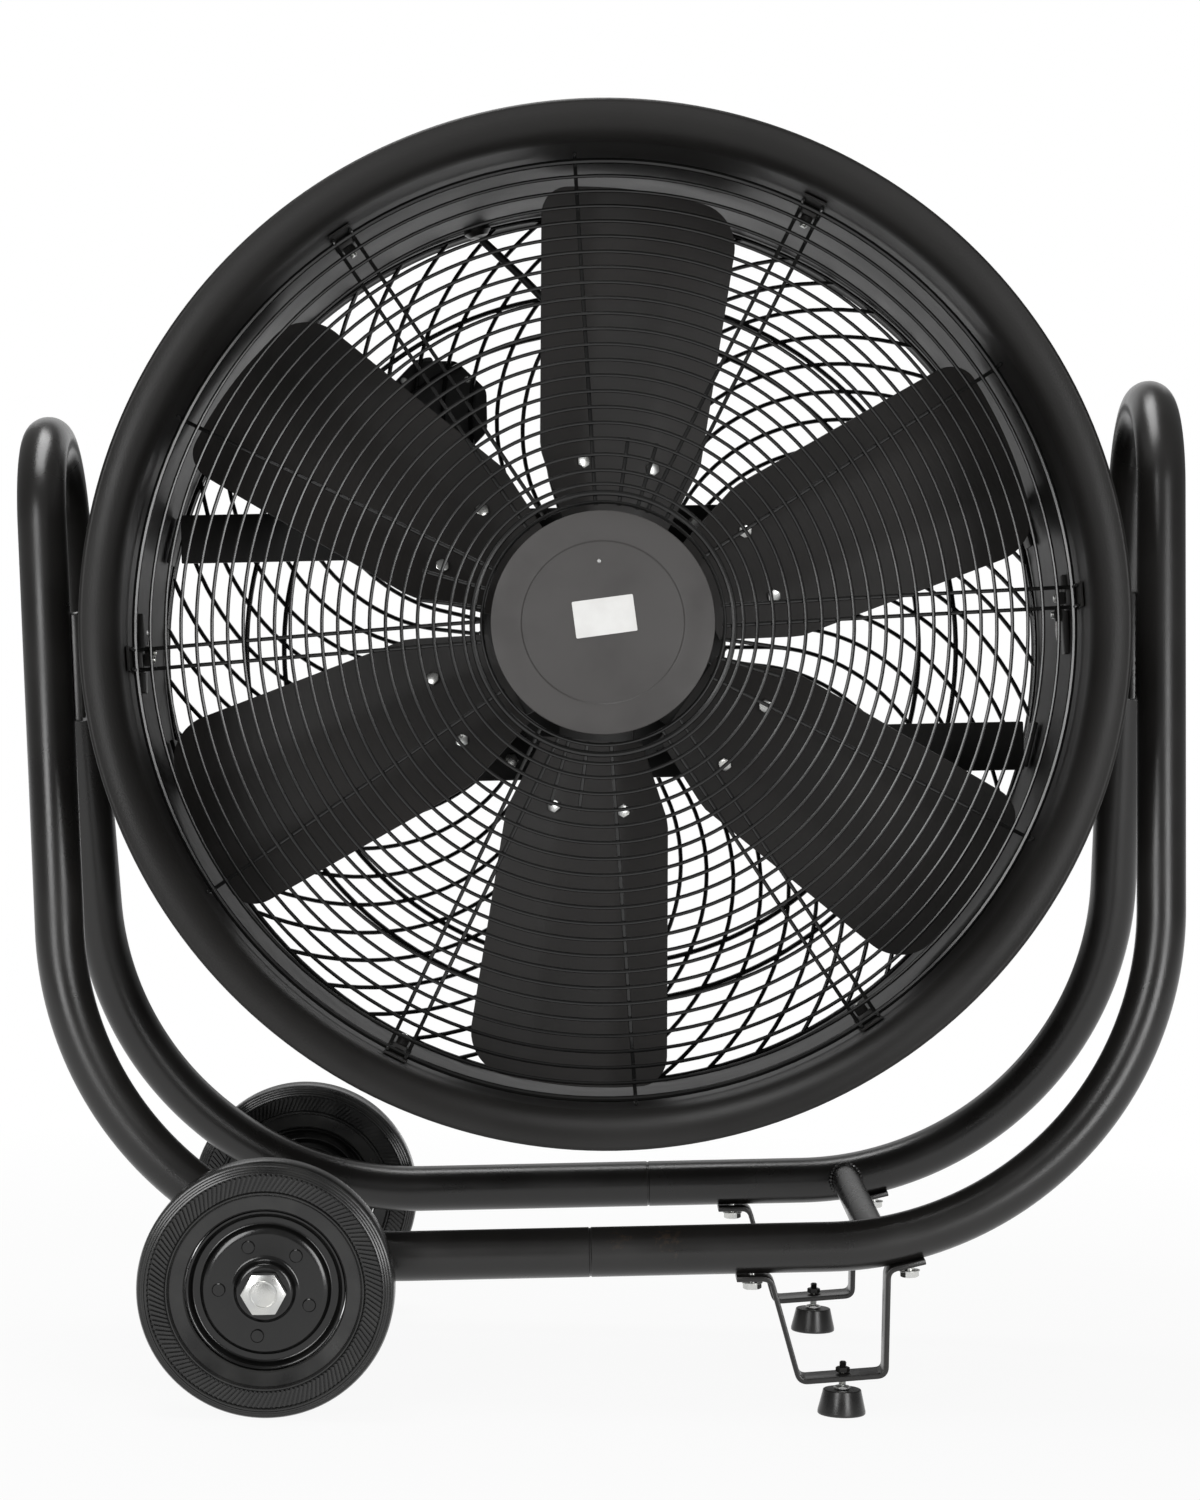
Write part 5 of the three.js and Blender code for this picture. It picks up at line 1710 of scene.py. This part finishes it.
@dataclass
class Motor:
    """The motor on its two cross bars, with its lead and the box behind the rear guard."""

    shop: Workshop
    copies: TurnedCopies
    radius: float = 107.0
    front: float = 46.0
    bar_y: float = 88.0
    bar_z: float = 97.0
    bar_height: float = 42.0
    rear_radius: float = 70.0
    rear: float = 140.0
    fins: int = 72
    rear_fins: int = 48
    vents: int = 24

    def _body(self) -> Shape:
        """Front bell, ribbed barrel and the narrower rear half.

        Returns:
            The housing in the drum frame.
        """
        r, f = self.radius, self.front
        bell = [(0, f - 4), (22, f - 5.5), (26, f - 2), (32, f), (r - 14, f), (r - 5, f + 3)]
        step, barrel, narrow = self.bar_y - 0.4, r - 1.4, self.rear_radius - 2
        profile = bell + [(barrel, f + 9), (barrel, step), (narrow, step)]
        profile += [(narrow, self.rear), (0, self.rear)]
        fin = block(3.2, 30, 1.8).moved(r - 1.7, f + 25, 0)
        rear_fin = block(3.2, 46, 1.8).moved(self.rear_radius - 1.7, self.bar_y + 27, 0)
        return lathe(profile, 96) + self._round(fin, self.fins) + self._round(rear_fin, self.rear_fins)

    def _round(self, one: Shape, count: int) -> Shape:
        """Copies of one shape all round the axis."""
        return self.copies.run(one, Count=count, First=0.0, Step=2 * math.pi / count)

    def _cap(self) -> Shape:
        """The domed rear cap with a ring of vents.

        Returns:
            The cap in the drum frame.
        """
        r, y = self.rear_radius, self.rear
        side = [(0, y + 0.4), (r, y + 0.4), (r, y + 5), (r - 2.5, y + 9)]
        dome = [(r - 12, y + 13.2), (r - 30, y + 15.2), (0, y + 16)]
        rib = block(26, 1.6, 3.4).moved(38, y + 15.2, 0)
        return lathe(side + dome, 96) + self._round(rib, self.vents).moved(0, -0.9, 0)

    def _bar(self, level: int) -> Shape:
        """A flat bar with eased edges and a tab at each end on the drum's wall.

        Args:
            level: 1 for the upper bar, -1 for the lower.

        Returns:
            The bar in the drum frame.
        """
        inner = DRUM_INSIDE - 1.8
        reach = math.sqrt(inner**2 - (self.bar_z + self.bar_height / 2) ** 2) - 4
        half = self.bar_height / 2
        face = prism(softened(oblong(-reach, -half, reach, half), 1.5, 3), self.bar_y, self.bar_y + 4)
        out = face.chamfered(0.8).moved(0, 0, level * self.bar_z)
        slope = math.asin(self.bar_z / inner)
        tab = block(3.6, 38, self.bar_height - 2).chamfered(0.8)
        for side in (-1, 1):
            here = tab.moved(side * (inner - 3.6), self.bar_y + 20.5, 0)
            out = out + here.turned(-side * level * slope, "Y")
        return out

    def _bar_screws(self, level: int) -> Shape:
        """Bolts that hold the motor to a bar.

        Args:
            level: 1 for the upper bar, -1 for the lower.

        Returns:
            The bolts in the drum frame.
        """
        out = Shape()
        for side in (-1, 1):
            out = out + hexagon(11, 4.4).moved(side * 81, self.bar_y - 4.8, level * (self.bar_z + 4))
        return out

    def _lead(self) -> Shape:
        """The supply lead, a smooth curve from the motor to the grommet in the drum's wall.

        Returns:
            The lead in the drum frame.
        """
        marks = [(12, 126, 71.5), (13, 126, 84), (18, 132, 130), (20, 139, 190)]
        marks += [(2, 145, 250), (-42, 148, 305), (-84, 148, 348), (-98.5, 148, 362)]
        curve = bpy.data.curves.new("lead_route", "CURVE")
        curve.dimensions = "3D"
        spline = curve.splines.new("BEZIER")
        spline.bezier_points.add(len(marks) - 1)
        for point, mark in zip(spline.bezier_points, marks):
            point.co = mark
            point.handle_left_type = point.handle_right_type = "AUTO"
        curve.resolution_u = 10
        holder = bpy.data.objects.new("lead_route", curve)
        data = bpy.data.meshes.new_from_object(holder)
        path = [v.co.copy() for v in data.vertices]
        bpy.data.objects.remove(holder)
        bpy.data.meshes.remove(data)
        bpy.data.curves.remove(curve)
        return swept(path, 3.7, 16)

    def _grommet(self) -> Shape:
        """The rubber grommet in the wall.

        Returns:
            The grommet in the drum frame.
        """
        r = DRUM_INSIDE
        profile = [(0, r - 9), (8, r - 9), (12, r - 5), (12, r - 1.5)]
        profile += [(8.4, r - 1.2), (8.4, r + 8), (0, r + 8)]
        return lathe(profile, 40).placed(UPRIGHT).turned(BOX_TURN, "Y").moved(0, BOX_Y, 0)

    def _box(self) -> Shape:
        """The octagonal box behind the rear guard: lid, screws and a fixing tab.

        Returns:
            The box in the drum frame, its screws with the second finish.
        """
        y = 177.5
        octagon = [polar(49, math.radians(22.5 + 45 * k)) for k in range(8)]
        rim = [(x * 0.93, z * 0.93) for x, z in octagon]
        body = prism(softened(rim, 5, 3), y + 3, y + 26).chamfered(1.0)
        lid = prism(softened(octagon, 5, 3), y, y + 3.2).chamfered(0.7)
        tab = prism(softened(oblong(-9, 40, 9, 58), 4, 4), y + 1, y + 3).turned(-0.2, "Y")
        out = body + lid + tab.moved(0, 0, -9)
        screw = lathe([(0, -1.2), (2.4, -1.0), (3.2, 0), (0, 0)], 16).painted(1)
        for k in range(4):
            x, z = polar(40, math.radians(45 + 90 * k))
            out = out + screw.moved(x, y, z)
        return out.moved(-143, 0, 214)

    def build(self) -> None:
        """Builds the motor group."""
        place = self.shop.drum()
        shop = self.shop
        paint = ([MOTOR_COAT], Body.DRUM, Slot.MOTOR_PAINT)
        shop.piece("motor_housing", self._body(), place, *paint, "motor_body")
        shop.piece("motor_rear_cap", self._cap(), place, *paint, "motor_cap")
        bolted = ([MOTOR_COAT, ZINC_PLATE], Body.DRUM, Slot.MOTOR_PAINT)
        for level, name in ((1, "upper"), (-1, "lower")):
            bar = self._bar(level) + self._bar_screws(level).painted(1)
            shop.piece(f"cross_member_{name}", bar, place, *bolted, f"motor_bar_{name}")
        shop.piece("supply_lead", self._lead(), place, [LEAD_RUBBER], Body.DRUM, Slot.RUBBER, "motor_lead")
        shop.piece(
            "wall_grommet", self._grommet(), place, [FOOT_RUBBER], Body.DRUM, Slot.RUBBER, "lead_grommet"
        )
        screwed = ([BOX_PLASTIC, ZINC_PLATE], Body.DRUM, Slot.PLASTIC)
        shop.piece("start_box", self._box(), place, *screwed, "capacitor_box")


# ---- Controls -----------------------------------------------------------------------------------


@dataclass
class Controls:
    """The switch box with its knob and gland, and the tilt knobs."""

    shop: Workshop
    length: float = 96.0
    depth: float = 70.0
    height: float = 46.0
    base: float = 390.6
    bore: float = 8.4

    def _top(self) -> float:
        """The box's open edge."""
        return self.base + self.height - 4

    def _box(self) -> Shape:
        """The box's walls, its foot shaped to the drum.

        Returns:
            The box, upright, before its turn round the drum.
        """
        half = self.length / 2
        floor = [(x, math.sqrt((self.base + 0.9) ** 2 - x**2)) for x in range(-int(half), int(half) + 1, 8)]
        outline = floor + [(half, self._top()), (-half, self._top())]
        return prism(outline, BOX_Y - self.depth / 2, BOX_Y + self.depth / 2).chamfered(1.6, 3, 50)

    def _lid(self) -> Shape:
        """The lid with a raised panel and four screws.

        Returns:
            The lid, upright, before its turn round the drum.
        """
        w, d, inset = self.length / 2 + 1, self.depth / 2 + 1, 9
        plate = prism(softened(oblong(-w, -d, w, d), 4, 4), 0, 3.0).chamfered(0.7)
        raised = oblong(inset - w, inset - d, w - inset, d - inset)
        out = plate + prism(softened(raised, 3, 4), 2.8, 4.6).chamfered(0.6)
        screw = lathe([(0, 4.4), (1.8, 4.2), (3.0, 3.2), (3.0, 2.6), (0, 2.6)], 18).painted(1)
        for sx in (-1, 1):
            for sz in (-1, 1):
                out = out + screw.moved(sx * (w - 5), 0, sz * (d - 5))
        return out.placed(UPRIGHT).moved(0, BOX_Y, self._top() + 0.35)

    def _knob(self) -> Shape:
        """The speed knob: fluted skirt, pointer ridge and stem, on the box's end.

        Returns:
            The knob, upright, before its turn round the drum.
        """
        skirt = self._lobed(15.4, 0.5, 24, 96)
        body = prism(skirt, 2, 14).chamfered(0.8) + bar_y(13, 12, 17, 48, 1.6)
        body = body + block(4, 5.5, 28).chamfered(1.2).moved(0, 16.4, 0) + bar_y(3.6, -10, 4, 20, 0.4)
        mark = block(1.0, 0.4, 9).moved(0, 19.2, 8).painted(1)
        return (body + mark).turned(math.pi / 2, "Z").moved(-self.length / 2, BOX_Y, self._top() - 20)

    def _lobed(self, radius: float, wave: float, lobes: int, points: int) -> Outline:
        """A round outline whose radius swells and shrinks by wave in even lobes."""
        angles = [2 * math.pi * k / points for k in range(points)]
        return [polar(radius + wave * math.cos(lobes * a), a) for a in angles]

    def _gland(self) -> Shape:
        """The cord gland on the box's rear wall: hexagon, dome nut and open bore.

        Returns:
            The gland, upright, before its turn round the drum.
        """
        y = BOX_Y + self.depth / 2
        flange = hexagon(22, 5.2, 4.4).moved(0, y + 0.4, 0)
        cap = [(4.3, y + 5), (10, y + 5), (9.4, y + 7.6), (6.6, y + 8.4), (4.3, y + 8.4)]
        dome = lathe(softened(cap, 0.6, 2), 40)
        neck = lathe(oblong(4.3, y - 8, 8.4, y + 1), 32)
        return (flange + dome + neck).moved(20, 0, self._top() - 18)

    def _tilt_knob(self, side: int) -> Shape:
        """The six-lobed hand knob with its hub and open bore.

        Args:
            side: -1 for the left, 1 for the right.

        Returns:
            The knob in the drum frame.
        """
        n, low, high = 120, 446.0, 466.0
        lobes = self._lobed(25.0, 3.0, 6, n)
        hole = self._lobed(self.bore, 0.0, 0, n)
        shape = Shape()
        for y, scale in ((low, 0.90), (447.6, 1.0), (463.5, 1.0), (high, 0.88)):
            shape.points += [Vector((x * scale, y, z * scale)) for x, z in lobes]
        shape.points += [Vector((x, y, z)) for y in (high, low) for x, z in hole]
        rings = len(shape.points) // n
        for ring in range(rings):
            shape.faces += band(ring * n, (ring + 1) % rings * n, n)
        hub = sleeve(self.bore, 15, 438.7, 447, 0.8, 40)
        return (shape.mended() + hub).turned(-side * math.pi / 2, "Z")

    def build(self) -> None:
        """Builds the controls."""
        drum = self.shop.drum()
        place = drum @ Matrix.Rotation(BOX_TURN, 4, "Y")
        shop = self.shop
        shop.piece("control_box", self._box(), place, [BOX_PLASTIC], Body.DRUM, Slot.PLASTIC, "switch_box")
        screwed = ([BOX_PLASTIC, ZINC_PLATE], Body.DRUM, Slot.PLASTIC)
        shop.piece("control_box_lid", self._lid(), place, *screwed, "switch_box_lid")
        shop.piece("gland_nut", self._gland(), place, [BOX_PLASTIC], Body.DRUM, Slot.PLASTIC, "cord_gland")
        marked = ([BOX_PLASTIC, LABEL_FILM], Body.SPEED_KNOB, Slot.PLASTIC)
        shop.piece("speed_dial", self._knob(), place, *marked, "speed_knob")
        for side, name, body in ((-1, "left", Body.TILT_KNOB_LEFT), (1, "right", Body.TILT_KNOB_RIGHT)):
            knob = ([BOX_PLASTIC], body, Slot.PLASTIC)
            shop.piece(f"clamp_knob_{name}", self._tilt_knob(side), drum, *knob, f"tilt_knob_{name}")


# ---- Studio -------------------------------------------------------------------------------------


@dataclass
class Studio:
    """Camera, floor and light."""

    eye: tuple[float, float, float] = (-0.0337, -3.33325, 0.65406)
    yaw: float = 0.01188
    pitch: float = 0.03933
    roll: float = 0.0273
    focal_px: float = 3937.5
    sensor_mm: float = 36.0
    aim: tuple[float, float, float] = (0.0, 0.0, 0.55)
    floor_half: float = 14.0

    def camera(self) -> None:
        """The camera at the photograph's angle."""
        data = bpy.data.cameras.new("photo_camera")
        data.sensor_fit = "VERTICAL"
        data.sensor_height = self.sensor_mm
        data.lens = self.focal_px / PHOTO_SIZE[1] * self.sensor_mm
        ahead = Vector((math.sin(self.yaw), math.cos(self.yaw), 0))
        right = Vector((math.cos(self.yaw), -math.sin(self.yaw), 0))
        rise = Vector((0, 0, 1))
        forward = ahead * math.cos(self.pitch) - rise * math.sin(self.pitch)
        up = ahead * math.sin(self.pitch) + rise * math.cos(self.pitch)
        across = right * math.cos(self.roll) + up * math.sin(self.roll)
        above = up * math.cos(self.roll) - right * math.sin(self.roll)
        turn = Matrix((across, above, -forward)).transposed().to_4x4()
        holder = bpy.data.objects.new("photo_camera", data)
        holder.matrix_world = Matrix.Translation(self.eye) @ turn
        bpy.context.scene.collection.objects.link(holder)
        bpy.context.scene.camera = holder

    def _lamp(self, name: str, place: Sequence[float], size: tuple[float, float], watts: float) -> None:
        """An area lamp that looks at the drum's centre.

        Args:
            name: the lamp's name.
            place: where it stands, in metres.
            size: its width and height, in metres.
            watts: its power.
        """
        data = bpy.data.lights.new(name, "AREA")
        data.shape = "RECTANGLE"
        data.size, data.size_y = size
        data.energy = watts
        lamp = bpy.data.objects.new(name, data)
        aim = Vector(self.aim) - Vector(place)
        lamp.matrix_world = Matrix.Translation(place) @ aim.to_track_quat("-Z", "Y").to_matrix().to_4x4()
        bpy.context.scene.collection.objects.link(lamp)

    def light(self) -> None:
        """Soft boxes above and at the sides, and a pale world that shows white."""
        self._lamp("top_box", (-0.5, 0.1, 3.1), (2.4, 1.3), 75.0)
        self._lamp("left_box", (-1.8, -3.3, 1.4), (1.1, 2.0), 56.0)
        self._lamp("right_box", (1.8, -3.3, 0.8), (1.1, 2.0), 60.0)
        self._lamp("rear_box", (0.0, 2.8, 1.8), (3.2, 1.8), 14.0)
        world = bpy.data.worlds.new("white_room")
        bpy.context.scene.world = world
        world.use_nodes = True
        tree = world.node_tree
        path = add_node(tree, "ShaderNodeLightPath").outputs
        rays = {0: path["Is Camera Ray"], 1: path["Is Transmission Ray"]}
        seen = add_node(tree, "ShaderNodeMath", rays, operation="MAXIMUM")
        strength = {"Value": seen.outputs["Value"], "To Min": 0.22, "To Max": 1.0}
        level = add_node(tree, "ShaderNodeMapRange", strength).outputs["Result"]
        backdrop = tree.nodes["Background"]
        backdrop.inputs["Color"].default_value = (1, 1, 1, 1)
        tree.links.new(level, backdrop.inputs["Strength"])

    def floor(self) -> None:
        """A plain white floor that keeps a faint shadow and fades to pure white away from the fan."""
        data = bpy.data.meshes.new("studio_floor")
        half = self.floor_half
        data.from_pydata([(x, y, 0) for x, y in oblong(-half, -half, half, half)], [], [(0, 1, 2, 3)])
        floor = bpy.data.objects.new("studio_floor", data)
        bpy.context.scene.collection.objects.link(floor)
        material = bpy.data.materials.new("white_paper_sweep")
        material.use_nodes = True
        tree = material.node_tree
        matte = tree.nodes["Principled BSDF"]
        matte.inputs["Base Color"].default_value = linear("cccccc")
        matte.inputs["Roughness"].default_value = 0.9
        path = add_node(tree, "ShaderNodeLightPath").outputs
        rays = {0: path["Is Camera Ray"], 1: path["Is Glossy Ray"]}
        seen = add_node(tree, "ShaderNodeMath", rays, operation="MAXIMUM")
        place = add_node(tree, "ShaderNodeTexCoord").outputs["Object"]
        away = add_node(tree, "ShaderNodeVectorMath", {0: place}, operation="LENGTH").outputs["Value"]
        fade = {"Value": away, "From Min": 0.75, "From Max": 1.5, "To Min": 0.93, "To Max": 1.0}
        white = add_node(tree, "ShaderNodeMapRange", fade).outputs["Result"]
        share = add_node(tree, "ShaderNodeMath", {0: seen.outputs["Value"], 1: white}, operation="MULTIPLY")
        glow = add_node(tree, "ShaderNodeEmission", {"Color": (1, 1, 1, 1), "Strength": 1.0})
        links = {0: share.outputs["Value"], 1: matte.outputs["BSDF"], 2: glow.outputs["Emission"]}
        blend = add_node(tree, "ShaderNodeMixShader", links)
        tree.links.new(blend.outputs["Shader"], tree.nodes["Material Output"].inputs["Surface"])
        data.materials.append(material)
        floor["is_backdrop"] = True


def corners(bounds: tuple[Vector, Vector]) -> list[list[float]]:
    """A box's two corners as plain lists."""
    return [list(map(float, corner)) for corner in bounds]


def main() -> None:
    """Builds every sub-assembly in order."""
    logging.basicConfig(level=logging.INFO, format="%(name)s %(message)s")
    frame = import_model()
    cad_box = corners(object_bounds())
    bpy.context.scene.view_settings.view_transform = "Standard"
    studio = Studio()
    studio.camera()
    shop = Workshop(frame)
    copies = TurnedCopies()
    Cradle(shop).build()
    RunningGear(shop, copies).build()
    Feet(shop).build()
    Drum(shop, copies).build()
    Guards(shop, RingWires(), SpokeWires(), copies).build()
    Rotor(shop, copies).build()
    Motor(shop, copies).build()
    Controls(shop).build()
    studio.light()
    studio.floor()
    {"cad": cad_box, "visual": corners(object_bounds())}


if __name__ == "__main__":
    main()
